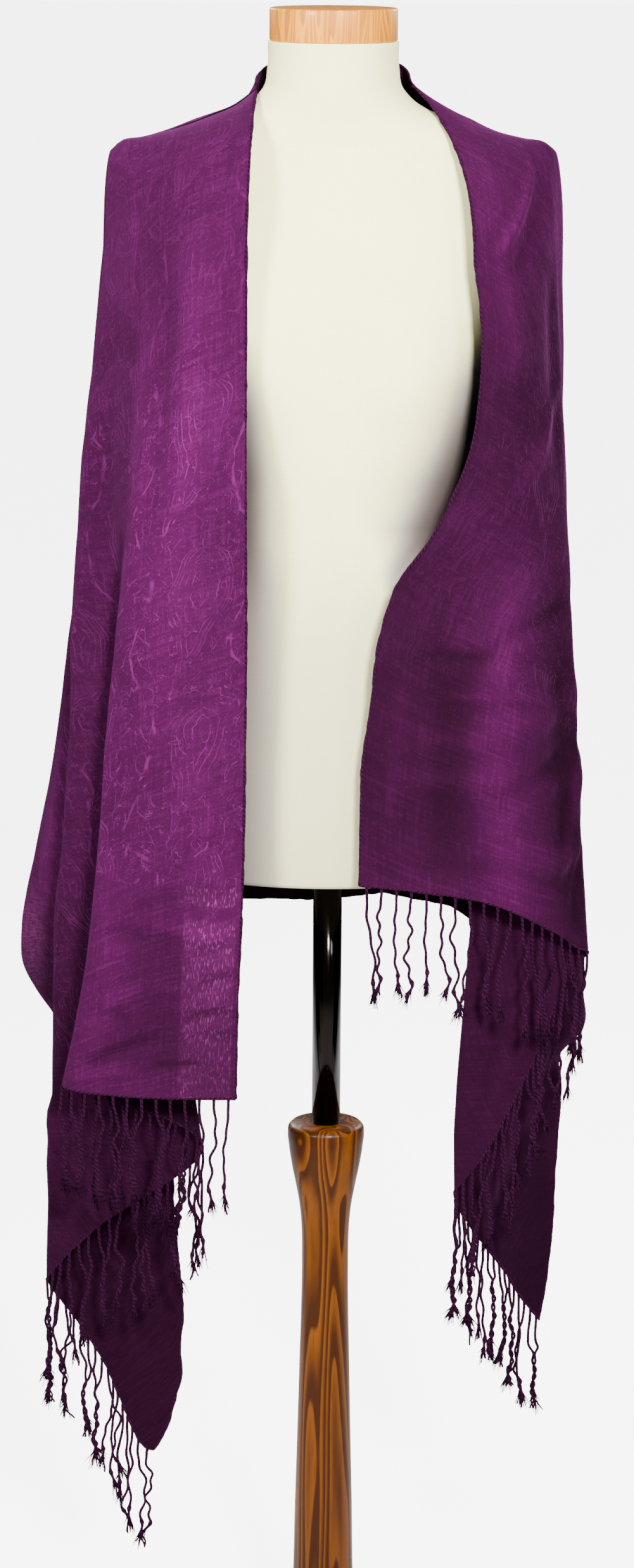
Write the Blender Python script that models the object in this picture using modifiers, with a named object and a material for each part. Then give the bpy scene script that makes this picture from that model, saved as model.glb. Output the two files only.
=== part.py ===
"""A fringed shawl-like scarf draped open over a limbless dress form on a turned stand.

Metres, +Z up, the front faces -Y. The origin is on the floor under the stand's centre.

The scarf is one woven rectangle. At every height a level section runs from its left front edge,
through the folds of the left fall, round the back, and through the folds of the right fall to the
right front edge. A section is a smooth spline through one control point for each line below, and two
for a fold, which part the layers that meet there. Each line is a table of height, across and depth.
"""

import math

import bmesh
import bpy
import numpy as np

WALL = 0.0012  # cloth thickness
SEAM = 0.0003  # gap between pieces
JOIN = 1.30  # height where the shoulder slope turns into the hanging fall
FOLD = 0.009  # half the spacing in depth of the two layers at a fold
# Above the folds the same two points lie along the smooth cloth: half spacing across there, by side
SLANT = {"left": 0.0058, "right": 0.0030}
SLANT_FROM, SLANT_FULL = 0.98, 1.18

# Form and stand
FORM_TOP = 1.4714
FORM_BOTTOM = 0.769
CAP_RADIUS, CAP_TOP = 0.0535, 1.499
POLE_RADIUS = 0.0125
POST_TOP = 0.533
BASE_RADIUS, BASE_HEIGHT = 0.17, 0.024

# Fringe
STRAND_RADIUS = 0.0011
STRAND_SPACING = 0.0125
STRAND_LENGTH = 0.098
PAIR_PULL = 0.0030  # neighbouring strands lean together in twos
STRIP_WIDTH = 0.0026
STRIP_GAP = 0.0006
STRIP_SHORT = 0.0006

# Rows are height, across, depth, from the top down
LINES = {
    "left front edge": [
        (1.300, -0.0702, -0.1130), (1.250, -0.0701, -0.1280), (1.153, -0.0699, -0.1330),
        (0.935, -0.0695, -0.1330), (0.756, -0.0723, -0.1320), (0.664, -0.0759, -0.1310),
        (0.592, -0.0772, -0.1280),
    ],
    "left front panel": [
        (1.300, -0.1200, -0.1030), (1.200, -0.1220, -0.1200), (1.000, -0.1280, -0.1280),
        (0.800, -0.1380, -0.1270), (0.590, -0.1540, -0.1240),
    ],
    "left front fold": [
        (1.300, -0.1530, -0.0660), (1.217, -0.1570, -0.0760), (1.157, -0.1610, -0.0820),
        (1.057, -0.1720, -0.0900), (0.927, -0.1870, -0.0960), (0.781, -0.1985, -0.1000),
        (0.710, -0.2060, -0.1010), (0.639, -0.2170, -0.1000), (0.592, -0.2290, -0.0980),
    ],
    "left inner fold": [
        (1.300, -0.1720, -0.0430), (1.200, -0.1770, -0.0500), (1.070, -0.1790, -0.0600),
        (0.950, -0.1650, -0.0600), (0.857, -0.1500, -0.0610), (0.750, -0.1290, -0.0630),
        (0.650, -0.1160, -0.0640), (0.569, -0.1100, -0.0620), (0.528, -0.1050, -0.0600),
    ],
    "left side fold": [
        (1.300, -0.1850, -0.0220), (1.200, -0.1960, -0.0260), (1.072, -0.2110, -0.0300),
        (0.985, -0.2180, -0.0310), (0.844, -0.2260, -0.0310), (0.712, -0.2360, -0.0300),
        (0.562, -0.2410, -0.0290), (0.394, -0.2485, -0.0260),
    ],
    "left valley": [
        (1.300, -0.1900, -0.0080), (1.072, -0.2080, -0.0080), (0.900, -0.2140, -0.0040),
        (0.750, -0.2180, 0.0000), (0.640, -0.2230, 0.0060), (0.550, -0.2150, 0.0060),
        (0.490, -0.2000, 0.0040), (0.350, -0.1900, 0.0000), (0.222, -0.1950, 0.0020),
    ],
    "left back edge": [
        (1.300, -0.1940, 0.0060), (1.188, -0.2030, 0.0080), (1.072, -0.2130, 0.0120),
        (0.940, -0.2320, 0.0200), (0.838, -0.2480, 0.0260), (0.769, -0.2620, 0.0300),
        (0.700, -0.2740, 0.0320), (0.665, -0.2735, 0.0320), (0.635, -0.2520, 0.0300),
        (0.600, -0.2300, 0.0220), (0.550, -0.2000, 0.0180), (0.487, -0.1640, 0.0140),
        (0.348, -0.1560, 0.0080), (0.222, -0.1720, 0.0060),
    ],
    "left selvedge": [
        (1.300, -0.1890, 0.0240), (1.188, -0.1980, 0.0320), (1.072, -0.2060, 0.0380),
        (0.940, -0.2250, 0.0480), (0.838, -0.2400, 0.0540), (0.769, -0.2540, 0.0560),
        (0.700, -0.2670, 0.0540), (0.665, -0.2660, 0.0500), (0.640, -0.2560, 0.0440),
        (0.6245, -0.2420, 0.0400), (0.585, -0.2080, 0.0340), (0.530, -0.1650, 0.0280),
        (0.487, -0.1385, 0.0220), (0.446, -0.1352, 0.0170), (0.396, -0.1302, 0.0130),
        (0.348, -0.1263, 0.0100), (0.317, -0.1292, 0.0090), (0.292, -0.1276, 0.0080),
        (0.274, -0.1327, 0.0080), (0.242, -0.1418, 0.0080), (0.222, -0.1530, 0.0080),
    ],
    "left back": [
        (1.300, -0.1600, 0.0900), (1.150, -0.1660, 0.1080), (0.900, -0.1750, 0.1180),
        (0.680, -0.1850, 0.1260),
    ],
    "left back middle": [
        (1.300, -0.0850, 0.1180), (1.150, -0.0880, 0.1260), (0.900, -0.0900, 0.1240),
        (0.690, -0.0900, 0.1280),
    ],
    "back middle": [
        (1.300, 0.0000, 0.1180), (1.150, 0.0000, 0.1200), (0.900, -0.0030, 0.1340),
        (0.690, -0.0060, 0.1420),
    ],
    "right back middle": [
        (1.300, 0.0850, 0.1180), (1.150, 0.0880, 0.1260), (0.900, 0.0880, 0.1240),
        (0.690, 0.0880, 0.1270),
    ],
    "right back": [
        (1.300, 0.1600, 0.0900), (1.150, 0.1650, 0.1060), (0.900, 0.1680, 0.1160),
        (0.600, 0.1760, 0.1240),
    ],
    "right selvedge": [
        (1.300, 0.1890, 0.0240), (1.188, 0.1940, 0.0330), (1.000, 0.2020, 0.0460),
        (0.800, 0.2140, 0.0600), (0.640, 0.2260, 0.0660), (0.605, 0.2265, 0.0640),
        (0.590, 0.2160, 0.0600), (0.575, 0.2085, 0.0560), (0.550, 0.2080, 0.0540),
        (0.498, 0.2058, 0.0520), (0.396, 0.2020, 0.0500), (0.333, 0.1945, 0.0480),
    ],
    "right back edge": [
        (1.300, 0.1945, 0.0140), (1.188, 0.1985, 0.0160), (1.000, 0.2050, 0.0220),
        (0.800, 0.2170, 0.0300), (0.640, 0.2310, 0.0400), (0.605, 0.2300, 0.0420),
        (0.580, 0.1980, 0.0340), (0.498, 0.1860, 0.0300), (0.333, 0.1760, 0.0300),
    ],
    "right valley": [
        (1.300, 0.1940, 0.0060), (1.100, 0.1960, 0.0020), (0.950, 0.1900, -0.0060),
        (0.800, 0.1780, -0.0100), (0.650, 0.1640, -0.0100), (0.500, 0.1500, -0.0100),
        (0.333, 0.1500, 0.0000),
    ],
    "right inner fold": [
        (1.300, 0.1920, -0.0080), (1.200, 0.1960, -0.0100), (1.090, 0.1930, -0.0190),
        (0.950, 0.1700, -0.0560), (0.850, 0.1500, -0.0720), (0.757, 0.1220, -0.0780), (0.654, 0.1150, -0.0760),
        (0.561, 0.1095, -0.0700), (0.492, 0.1095, -0.0660),
    ],
    "right side fold": [
        (1.300, 0.1840, -0.0340), (1.190, 0.1920, -0.0360), (1.077, 0.2000, -0.0390),
        (1.001, 0.2060, -0.0380), (0.946, 0.2100, -0.0400), (0.835, 0.2185, -0.0420),
        (0.732, 0.2250, -0.0420), (0.698, 0.2275, -0.0420), (0.600, 0.2320, -0.0420),
    ],
    "right front panel": [
        (1.300, 0.1520, -0.0860), (1.243, 0.1620, -0.0960), (1.140, 0.1640, -0.1000),
        (1.050, 0.1480, -0.1080), (0.950, 0.1420, -0.1140), (0.800, 0.1420, -0.1160),
        (0.690, 0.1450, -0.1120),
    ],
    "right front edge": [
        (1.300, 0.1159, -0.1080), (1.243, 0.1226, -0.1180), (1.203, 0.1218, -0.1220),
        (1.140, 0.1128, -0.1240), (1.093, 0.0934, -0.1250), (1.066, 0.0785, -0.1260),
        (1.037, 0.0569, -0.1270), (1.012, 0.0472, -0.1280), (0.985, 0.0406, -0.1280),
        (0.933, 0.0347, -0.1290), (0.882, 0.0282, -0.1290), (0.834, 0.0270, -0.1280),
        (0.780, 0.0264, -0.1260),
    ],
}

# The ridge of each shoulder. Rows are distance from the middle, depth, height
RIDGE = {
    "left": [
        (0.064, 0.000, 1.4310), (0.080, 0.002, 1.4185), (0.100, 0.004, 1.4095), (0.130, 0.006, 1.3985),
        (0.160, 0.008, 1.3905), (0.178, 0.009, 1.3865), (0.1865, 0.010, 1.3790),
    ],
    "right": [
        (0.066, 0.000, 1.4360), (0.080, 0.002, 1.4260), (0.100, 0.004, 1.4130), (0.130, 0.006, 1.3990),
        (0.160, 0.008, 1.3915), (0.178, 0.009, 1.3880), (0.1875, 0.010, 1.3800),
    ],
}
# Below these heights a fall's last edge is the free lower selvedge, no longer joined to the back
FREE_BELOW = {"left": 0.675, "right": 0.600}
FREE_OVER = 0.040
NECK_RISE = 0.0240  # how far the cloth stands up behind the neck

# Where along the section each column of the cloth starts on the ridge: place, distance from the middle
LEFT_STARTS = [(0, 0.064), (1, 0.115), (2.5, 0.155), (5.5, 0.172), (8.5, 0.181), (12, 0.1865)]
RIGHT_STARTS = [(18, 0.1875), (21.5, 0.182), (24.5, 0.174), (25.5, 0.135), (27, 0.066)]
BACK_STARTS = [(12, -0.1865), (13.5, -0.064), (16.5, 0.066), (18, 0.1875)]

# How each column leaves its start: place, share of the way out, shift across, drop
LEAVING = [
    (0, 0.50, 0.002, 0.006), (1, 0.60, 0.000, 0.000), (12, 0.60, 0.000, 0.000), (13, 0.60, 0.000, 0.002),
    (13.6, 0.20, 0.000, 0.024), (14, 0.12, 0.000, 0.034), (16, 0.12, 0.000, 0.034), (16.4, 0.20, 0.000, 0.024),
    (17, 0.60, 0.000, 0.002), (18, 0.60, 0.000, 0.000), (25.5, 0.60, 0.000, 0.000), (26.3, 0.45, 0.004, 0.012),
    (27, 0.17, 0.024, 0.030),
]

# Hem and lower edge. Rows are place along the section, height
KNEES = [(0, 0.675), (12, 0.675), (18, 0.600), (21.5, 0.620), (23, 0.680), (24.5, 0.760), (27, 0.830)]
HEM = [
    (0, 0.5920), (1, 0.5910), (2.3, 0.5940), (2.8, 0.5955), (4, 0.5720), (5.5, 0.5286), (7, 0.4680),
    (8.2, 0.4020), (8.8, 0.3880), (9.4, 0.3560), (9.9, 0.3150), (10.4, 0.2720), (10.9, 0.2430),
    (11.5, 0.2260), (12, 0.2225),
    (18, 0.3327), (19, 0.3620), (20, 0.4150), (21, 0.4700), (21.5, 0.4900), (22, 0.5030), (22.5, 0.5300),
    (23, 0.5900), (23.4, 0.6480), (23.8, 0.6830), (24.5, 0.7010), (25, 0.7095), (25.25, 0.7215),
    (25.5, 0.7340), (26, 0.7590), (26.5, 0.7708), (27, 0.7785),
]
BACK_EDGE = [(12, 0.675), (13, 0.690), (14, 0.7030), (15, 0.7010), (15.6, 0.7090), (16.3, 0.6980), (18, 0.600)]

# Stretches of the scarf: first and last place along the section, and the places between them
STRETCHES = {
    "scarf_left_front": (0.0, 3.4, (0.35, 0.7, 1.05, 1.45, 1.8, 2.1, 2.35, 2.6, 2.85, 3.1)),
    "scarf_left_side_fold": (3.4, 7.4, (3.8, 4.4, 4.9, 5.2, 5.4, 5.6, 5.8, 6.1, 6.6)),
    "scarf_left_back_fold": (7.4, 12.0, (7.9, 8.3, 8.5, 8.7, 9.1, 9.6, 10.2, 10.6, 10.95, 11.3, 11.6, 11.9)),
    "scarf_back": (12.0, 18.0, (12.1, *(12 + 6 * k / 16 for k in range(1, 16)), 17.9)),
    "scarf_right_back_fold": (18.0, 20.6, (18.1, 18.5, 18.9, 19.3, 19.9)),
    "scarf_right_side_fold": (20.6, 23.6, (21.0, 21.3, 21.5, 21.7, 22.0, 22.5, 23.0)),
    "scarf_right_front": (23.6, 27.0, (23.9, 24.15, 24.4, 24.65, 24.9, 25.2, 25.55, 25.9, 26.25, 26.6)),
}
TOP_ROWS, FALL_ROWS, TAIL_ROWS = 5, 10, 6
# More room between the stretches where they turn sharply over a shoulder's tip, by distance from the middle
TIP_EASE, TIP_FROM, TIP_FULL = 0.0014, 0.176, 0.184

COLOURS = {
    "scarf": (0.155, 0.022, 0.130, 0.55, 0.0),
    "linen": (0.800, 0.790, 0.710, 0.90, 0.0),
    "pale wood": (0.640, 0.400, 0.160, 0.40, 0.0),
    "brown wood": (0.330, 0.130, 0.045, 0.30, 0.0),
    "chrome": (0.350, 0.340, 0.350, 0.12, 1.0),
}


def clear_scene():
    for item in list(bpy.data.objects):
        bpy.data.objects.remove(item)


def material(name):
    red, green, blue, roughness, metallic = COLOURS[name]
    made = bpy.data.materials.new(name)
    made.use_nodes = True
    shader = made.node_tree.nodes["Principled BSDF"]
    shader.inputs["Base Color"].default_value = (red, green, blue, 1.0)
    shader.inputs["Roughness"].default_value = roughness
    shader.inputs["Metallic"].default_value = metallic
    made.diffuse_color = (red, green, blue, 1.0)
    return made


def smooth_read(rows, at):
    """Values of a smooth curve through rows whose first column rises or falls, read at an array of places."""
    rows = np.array(sorted(rows), dtype=float)
    knots, values = rows[:, 0], rows[:, 1:]
    slopes = np.gradient(values, knots, axis=0)
    place = np.clip(at, knots[0], knots[-1])
    cell = np.clip(np.searchsorted(knots, place, side="right") - 1, 0, len(knots) - 2)
    span = knots[cell + 1] - knots[cell]
    t = ((place - knots[cell]) / span)[..., None]
    span = span[..., None]
    return (
        (1 + 2 * t) * (1 - t) ** 2 * values[cell]
        + t * (1 - t) ** 2 * span * slopes[cell]
        + t * t * (3 - 2 * t) * values[cell + 1]
        + t * t * (t - 1) * span * slopes[cell + 1]
    )


def straight_read(rows, at):
    """The second column of the rows, read in straight steps at an array of places."""
    rows = np.array(rows, dtype=float)
    return np.interp(at, rows[:, 0], rows[:, 1])


def section_controls(height, on_back):
    """Control points (control, ..., 2) of the level section at an array of heights."""
    line = {name: smooth_read(rows, height) for name, rows in LINES.items()}
    slant = np.clip((height - SLANT_FROM) / (SLANT_FULL - SLANT_FROM), 0, 1)
    depth = np.full(height.shape, FOLD)
    half = {
        "left": np.stack([-SLANT["left"] * slant, depth], -1),
        "right": np.stack([-SLANT["right"] * slant, -depth], -1),
    }
    if not on_back:
        for side in ("left", "right"):
            free = np.clip((FREE_BELOW[side] - height) / FREE_OVER, 0, 1)[..., None]
            ahead = 2 * line[side + " selvedge"] - line[side + " back edge"]
            line[side + " back"] = line[side + " back"] * (1 - free) + ahead * free

    def pair(side, name):
        fold = line[f"{side} {name}"]
        return [fold - half[side], fold + half[side]]

    def between(one, other):
        return [(line[one] + line[other]) / 2]

    return np.array(
        [line["left front edge"], line["left front panel"]]
        + pair("left", "front fold")
        + between("left front fold", "left inner fold")
        + pair("left", "inner fold")
        + between("left inner fold", "left side fold")
        + pair("left", "side fold")
        + [line["left valley"], line["left back edge"], line["left selvedge"]]
        + [line["left back"], line["left back middle"], line["back middle"]]
        + [line["right back middle"], line["right back"]]
        + [line["right selvedge"], line["right back edge"], line["right valley"]]
        + pair("right", "inner fold")
        + between("right inner fold", "right side fold")
        + pair("right", "side fold")
        + [line["right front panel"], line["right front edge"]]
    )


def spline_weights(place, controls):
    """Share (place, control) of each control in a uniform cubic spline that ends on its first and last one."""
    cell = np.clip(np.floor(place).astype(int), 0, controls - 2)
    f = place - cell
    basis = np.stack([(1 - f) ** 3, 3 * f**3 - 6 * f**2 + 4, -3 * f**3 + 3 * f**2 + 3 * f + 1, f**3], -1) / 6
    weights = np.zeros((len(place), controls + 2))
    rows = np.arange(len(place))
    for k in range(4):
        weights[rows, cell + k] += basis[:, k]
    inner = weights[:, 1:-1].copy()
    inner[:, 0] += 2 * weights[:, 0]
    inner[:, 1] -= weights[:, 0]
    inner[:, -1] += 2 * weights[:, -1]
    inner[:, -2] -= weights[:, -1]
    return inner


def section_points(place, height, on_back=False):
    """Cloth points (place, row, 3): the level section at each column's heights."""
    controls = section_controls(height, on_back)
    weights = spline_weights(place, len(controls))
    level = np.einsum("pc,cprd->prd", weights, controls)
    return np.concatenate([level, height[..., None]], axis=-1)


def ridge_point(side, distance):
    level = smooth_read(RIDGE[side], distance)
    across = -distance if side == "left" else distance
    return np.stack([across, level[:, 0], level[:, 1]], -1)


def column_starts(place, on_back):
    """Where each column of the cloth starts: on a shoulder's ridge or, behind, on the neck edge."""
    if not on_back:
        side, rows = ("left", LEFT_STARTS) if place[0] < 15 else ("right", RIGHT_STARTS)
        return ridge_point(side, straight_read(rows, place))
    across = straight_read(BACK_STARTS, place)
    left = ridge_point("left", np.maximum(-across, RIDGE["left"][0][0]))
    right = ridge_point("right", np.maximum(across, RIDGE["right"][0][0]))
    turn = np.clip((place - 13.5) / 3, 0, 1)
    angle = math.pi * turn
    neck = left[:, 2] * (1 - turn) + right[:, 2] * turn
    stand = np.stack(
        [-0.064 * np.cos(angle), 0.066 * np.sin(angle), neck + NECK_RISE * np.sin(angle) ** 0.6], -1
    )
    starts = np.where((place < 13.5)[:, None], left, stand)
    return np.where((place > 16.5)[:, None], right, starts)


def shoulder_points(place, on_back, rows):
    """Cloth points from the ridge or neck edge down to the join, on a Bezier curve for each column."""
    start = column_starts(place, on_back)
    end = section_points(place, np.full((len(place), 1), JOIN), on_back)[:, 0]
    leave = np.array(LEAVING)
    share, shift, drop = (np.interp(place, leave[:, 0], leave[:, k]) for k in (1, 2, 3))
    out = (end - start) * np.array([1.0, 1.0, 0.0])
    first = start + share[:, None] * out
    first[:, 0] += shift
    first[:, 2] -= drop
    second = end.copy()
    second[:, 2] += 0.5 * (start[:, 2] - JOIN)
    t = rows[None, :, None]
    return (
        (1 - t) ** 3 * start[:, None]
        + 3 * t * (1 - t) ** 2 * first[:, None]
        + 3 * t * t * (1 - t) * second[:, None]
        + t**3 * end[:, None]
    )


def cloth_points(place, on_back):
    """Points (place, row, 3) of a stretch of the scarf, from its top edge to its hem or lower edge."""
    top = shoulder_points(place, on_back, np.r_[0.0, 0.04, np.linspace(0.0, 1.0, TOP_ROWS + 1)[1:]])
    down = np.linspace(0, 1, FALL_ROWS + 1)[1:]
    low = straight_read(BACK_EDGE if on_back else KNEES, place)[:, None]
    fall = section_points(place, JOIN + (low - JOIN) * down, on_back)
    if on_back:
        return np.concatenate([top, fall], axis=1)
    hem = smooth_read(HEM, place)
    down = np.linspace(0, 1, TAIL_ROWS + 1)[1:]
    tail = section_points(place, low + (hem - low) * down)
    return np.concatenate([top, fall, tail], axis=1)


def drawn_in(points, edge, distance):
    """The grid with one edge moved inwards along its rows or columns."""
    moved = np.moveaxis(points, {"first": 0, "last": 0, "top": 1}[edge], 0).copy()
    end, inner = (-1, -2) if edge == "last" else (0, 1)
    step = moved[inner] - moved[end]
    moved[end] += step * distance / np.linalg.norm(step, axis=-1, keepdims=True)
    return np.moveaxis(moved, 0, {"first": 0, "last": 0, "top": 1}[edge])


def grid_faces(columns, rows):
    index = np.arange(columns * rows).reshape(columns, rows)
    return np.stack(
        [index[:-1, :-1], index[:-1, 1:], index[1:, 1:], index[1:, :-1]], -1
    ).reshape(-1, 4)


def mesh_object(name, points, faces, collection, finish):
    mesh = bpy.data.meshes.new(name)
    mesh.from_pydata(points.reshape(-1, 3).tolist(), [], faces.tolist())
    mesh.materials.append(finish)
    mesh.shade_smooth()
    made = bpy.data.objects.new(name, mesh)
    collection.objects.link(made)
    return made


def wall_object(name, points, thickness, collection, finish):
    """An open grid of cloth points, given its thickness."""
    made = mesh_object(name, points, grid_faces(*points.shape[:2]), collection, finish)
    wall = made.modifiers.new("wall", "SOLIDIFY")
    wall.thickness = thickness
    wall.offset = 0.0
    return made


def stretch_points(name):
    """The grid of one stretch of the scarf, its sides and top drawn in for the seams."""
    first, last, between = STRETCHES[name]
    points = cloth_points(np.array([first, *between, last]), name == "scarf_back")
    rows = np.arange(points.shape[1])
    side_gap = SEAM + TIP_EASE * np.clip(1 - rows / 4, 0, 1)
    near_tip = np.clip((np.abs(points[:, 0, 0]) - TIP_FROM) / (TIP_FULL - TIP_FROM), 0, 1)
    for edge in ("first", "last"):
        points = drawn_in(points, edge, side_gap[:, None])
    return drawn_in(points, "top", (SEAM + TIP_EASE * near_tip)[:, None])


def superellipse_ring(height, half_width, front, back, power, count):
    """Points (count, 3) of a level ring, with its own depth in front and behind."""
    angle = 2 * math.pi * np.arange(count) / count
    cosine, sine = np.cos(angle), np.sin(angle)
    across = half_width * np.sign(cosine) * np.abs(cosine) ** (2 / power)
    depth = np.where(sine < 0, front, back) * np.sign(sine) * np.abs(sine) ** (2 / power)
    return np.stack([across, depth, np.full(count, height)], -1)


# Rings of the form. Rows are height, half width, depth in front, depth behind, squareness
FORM_RINGS = [
    (0.769, 0.1400, 0.0980, 0.1000, 2.1), (0.790, 0.1480, 0.1010, 0.1060, 2.1),
    (0.850, 0.1550, 0.1040, 0.1120, 2.1), (0.920, 0.1500, 0.1000, 0.1080, 2.1),
    (1.000, 0.1310, 0.0920, 0.0940, 2.1), (1.060, 0.1230, 0.0900, 0.0870, 2.2), (1.150, 0.1350, 0.1030, 0.0950, 2.2),
    (1.200, 0.1450, 0.1080, 0.1010, 2.2), (1.250, 0.1520, 0.1040, 0.1040, 2.3),
    (1.300, 0.1620, 0.0900, 0.1000, 2.3), (1.340, 0.1720, 0.0740, 0.0860, 2.2),
    (1.362, 0.1760, 0.0620, 0.0740, 2.1), (1.376, 0.1740, 0.0560, 0.0660, 2.0),
    (1.386, 0.1600, 0.0510, 0.0600, 1.8), (1.3965, 0.1300, 0.0510, 0.0570, 1.75),
    (1.4075, 0.1000, 0.0515, 0.0550, 1.75), (1.4170, 0.0770, 0.0530, 0.0545, 1.80),
    (1.4310, 0.0600, 0.0540, 0.0545, 2.0), (1.4500, 0.0550, 0.0540, 0.0540, 2.0),
    (1.4714, 0.0548, 0.0548, 0.0548, 2.0),
]
BUST = {"across": 0.072, "height": 1.205, "out": 0.016, "wide": 0.042, "tall": 0.060}


def make_form(collection, finish):
    """Lofted rings, closed at both ends, with a soft rise on each side of the chest."""
    count = 28
    rings = np.array([superellipse_ring(*row, count) for row in FORM_RINGS])
    away = (np.abs(rings[..., 0]) - BUST["across"]) / BUST["wide"]
    rise = (rings[..., 2] - BUST["height"]) / BUST["tall"]
    rings[..., 1] -= np.where(rings[..., 1] < 0, BUST["out"] * np.exp(-(away**2) - rise**2), 0.0)
    mesh = bmesh.new()
    loops = [[mesh.verts.new(point) for point in ring] for ring in rings]
    for low, high in zip(loops, loops[1:]):
        for k in range(count):
            mesh.faces.new((low[k], low[(k + 1) % count], high[(k + 1) % count], high[k]))
    mesh.faces.new(loops[0][::-1])
    mesh.faces.new(loops[-1])
    data = bpy.data.meshes.new("form_torso")
    mesh.to_mesh(data)
    mesh.free()
    data.materials.append(finish)
    data.shade_smooth()
    made = bpy.data.objects.new("form_torso", data)
    collection.objects.link(made)
    return made


def turned(name, profile, steps, collection, finish):
    """A solid of revolution. The profile runs down its outer side, from the axis to the axis."""
    mesh = bpy.data.meshes.new(name)
    edges = [(k, k + 1) for k in range(len(profile) - 1)]
    mesh.from_pydata([(radius, 0.0, height) for radius, height in profile], edges, [])
    mesh.materials.append(finish)
    made = bpy.data.objects.new(name, mesh)
    collection.objects.link(made)
    turn = made.modifiers.new("turn", "SCREW")
    turn.steps = turn.render_steps = steps
    turn.use_merge_vertices = True
    turn.merge_threshold = 0.00005
    turn.use_smooth_shade = True
    return made


def make_stand(collection, finishes):
    cap_low = FORM_TOP + SEAM
    turned(
        "neck_cap",
        [
            (0.0, CAP_TOP), (CAP_RADIUS - 0.002, CAP_TOP), (CAP_RADIUS - 0.0005, CAP_TOP - 0.0006),
            (CAP_RADIUS, CAP_TOP - 0.0022), (CAP_RADIUS, cap_low + 0.0015), (CAP_RADIUS - 0.001, cap_low),
            (0.0, cap_low),
        ],
        28, collection, finishes["pale wood"],
    )
    turned(
        "form_pole",
        [
            (0.0, FORM_BOTTOM - SEAM), (POLE_RADIUS, FORM_BOTTOM - SEAM), (POLE_RADIUS, POST_TOP + SEAM),
            (0.0, POST_TOP + SEAM),
        ],
        16, collection, finishes["chrome"],
    )
    foot = BASE_HEIGHT + SEAM
    turned(
        "stand_post",
        [
            (0.0, POST_TOP), (0.0300, POST_TOP), (0.0326, POST_TOP - 0.0025), (0.0336, POST_TOP - 0.008),
            (0.0327, 0.513), (0.0298, 0.494), (0.0262, 0.476), (0.0230, 0.458), (0.0212, 0.440),
            (0.0205, 0.403), (0.0210, 0.360), (0.0219, 0.325), (0.0237, 0.250), (0.0257, 0.173),
            (0.0270, 0.110), (0.0290, 0.065), (0.0310, foot), (0.0, foot),
        ],
        20, collection, finishes["brown wood"],
    )
    turned(
        "stand_base",
        [
            (0.0, BASE_HEIGHT), (BASE_RADIUS - 0.010, BASE_HEIGHT), (BASE_RADIUS - 0.003, BASE_HEIGHT - 0.003),
            (BASE_RADIUS, BASE_HEIGHT - 0.010), (BASE_RADIUS, 0.003), (BASE_RADIUS - 0.002, 0.0), (0.0, 0.0),
        ],
        32, collection, finishes["brown wood"],
    )


def strip_line(points):
    """The hem of a grid, and the unit direction that leads off the cloth there, square to the hem and in its face."""
    hem = points[:, -1]
    up = points[:, -2] - hem
    along = np.gradient(hem, axis=0)
    along /= np.linalg.norm(along, axis=1, keepdims=True)
    off = along * np.sum(up * along, axis=1, keepdims=True) - up
    return hem, off / np.linalg.norm(off, axis=1, keepdims=True)


def strand_tubes(roots, seed):
    """Three-sided strands as one mesh: each hangs from its root, wanders a little, and thickens at a knot."""
    dice = np.random.default_rng(seed)
    count = len(roots)
    t = np.array([0.0, 0.20, 0.48, 0.74, 0.85, 1.0])
    thickness = np.array([1.0, 0.95, 1.0, 0.9, 1.6, 0.6]) * STRAND_RADIUS
    length = STRAND_LENGTH * dice.uniform(0.88, 1.08, count)
    wander = dice.uniform(-0.0008, 0.0008, (count, len(t), 2)) * t[None, :, None] ** 0.5
    heading = np.gradient(roots[:, :2], axis=0)
    spacing = np.linalg.norm(heading, axis=1)
    heading /= spacing[:, None]
    pull = np.minimum(PAIR_PULL, 0.18 * spacing) * np.where(np.arange(count) % 2 == 0, 1, -1)
    path = np.zeros((count, len(t), 3))
    path[..., :2] = roots[:, None, :2] + wander + (pull * t[:, None] ** 1.5).T[..., None] * heading[:, None, :]
    path[..., 2] = roots[:, None, 2] - length[:, None] * t
    turn = 2 * math.pi * np.arange(3) / 3
    around = np.stack([np.cos(turn), np.sin(turn), np.zeros(3)], -1)
    points = path[:, :, None, :] + thickness[None, :, None, None] * around[None, None]
    per = len(t) * 3
    faces = []
    for strand in range(count):
        base = strand * per
        for ring in range(len(t) - 1):
            for k in range(3):
                a, b = base + ring * 3 + k, base + ring * 3 + (k + 1) % 3
                faces.append((a, a + 3, b + 3, b))
        faces.append((base, base + 1, base + 2))
        faces.append((base + per - 1, base + per - 2, base + per - 3))
    return points.reshape(-1, 3), faces


def make_fringe(name, points, seed, collection, helpers, finish):
    """A narrow strip just off the hem of a grid, with strands joined to it."""
    hem, off = strip_line(points)
    strip_points = np.stack([hem + off * STRIP_GAP, hem + off * (STRIP_GAP + STRIP_WIDTH)], axis=1)
    for edge in ("first", "last"):
        strip_points = drawn_in(strip_points, edge, STRIP_SHORT)
    strip = wall_object(name, strip_points, WALL, collection, finish)
    run = np.r_[0.0, np.cumsum(np.linalg.norm(np.diff(hem, axis=0), axis=1))]
    count = round(run[-1] / STRAND_SPACING)
    at = (np.arange(count) + 0.5) * run[-1] / count
    middle = hem + off * (STRIP_GAP + 0.6 * STRIP_WIDTH)
    roots = np.stack([np.interp(at, run, middle[:, k]) for k in range(3)], -1)
    tubes, faces = strand_tubes(roots, seed)
    mesh = bpy.data.meshes.new(name + "_strands")
    mesh.from_pydata(tubes.tolist(), [], faces)
    strands = bpy.data.objects.new(name + "_strands", mesh)
    helpers.objects.link(strands)
    strands.hide_render = True
    strands.display_type = "WIRE"
    union = strip.modifiers.new("strands", "BOOLEAN")
    union.operation = "UNION"
    union.solver = "EXACT"
    union.object = strands
    return strip


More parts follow.
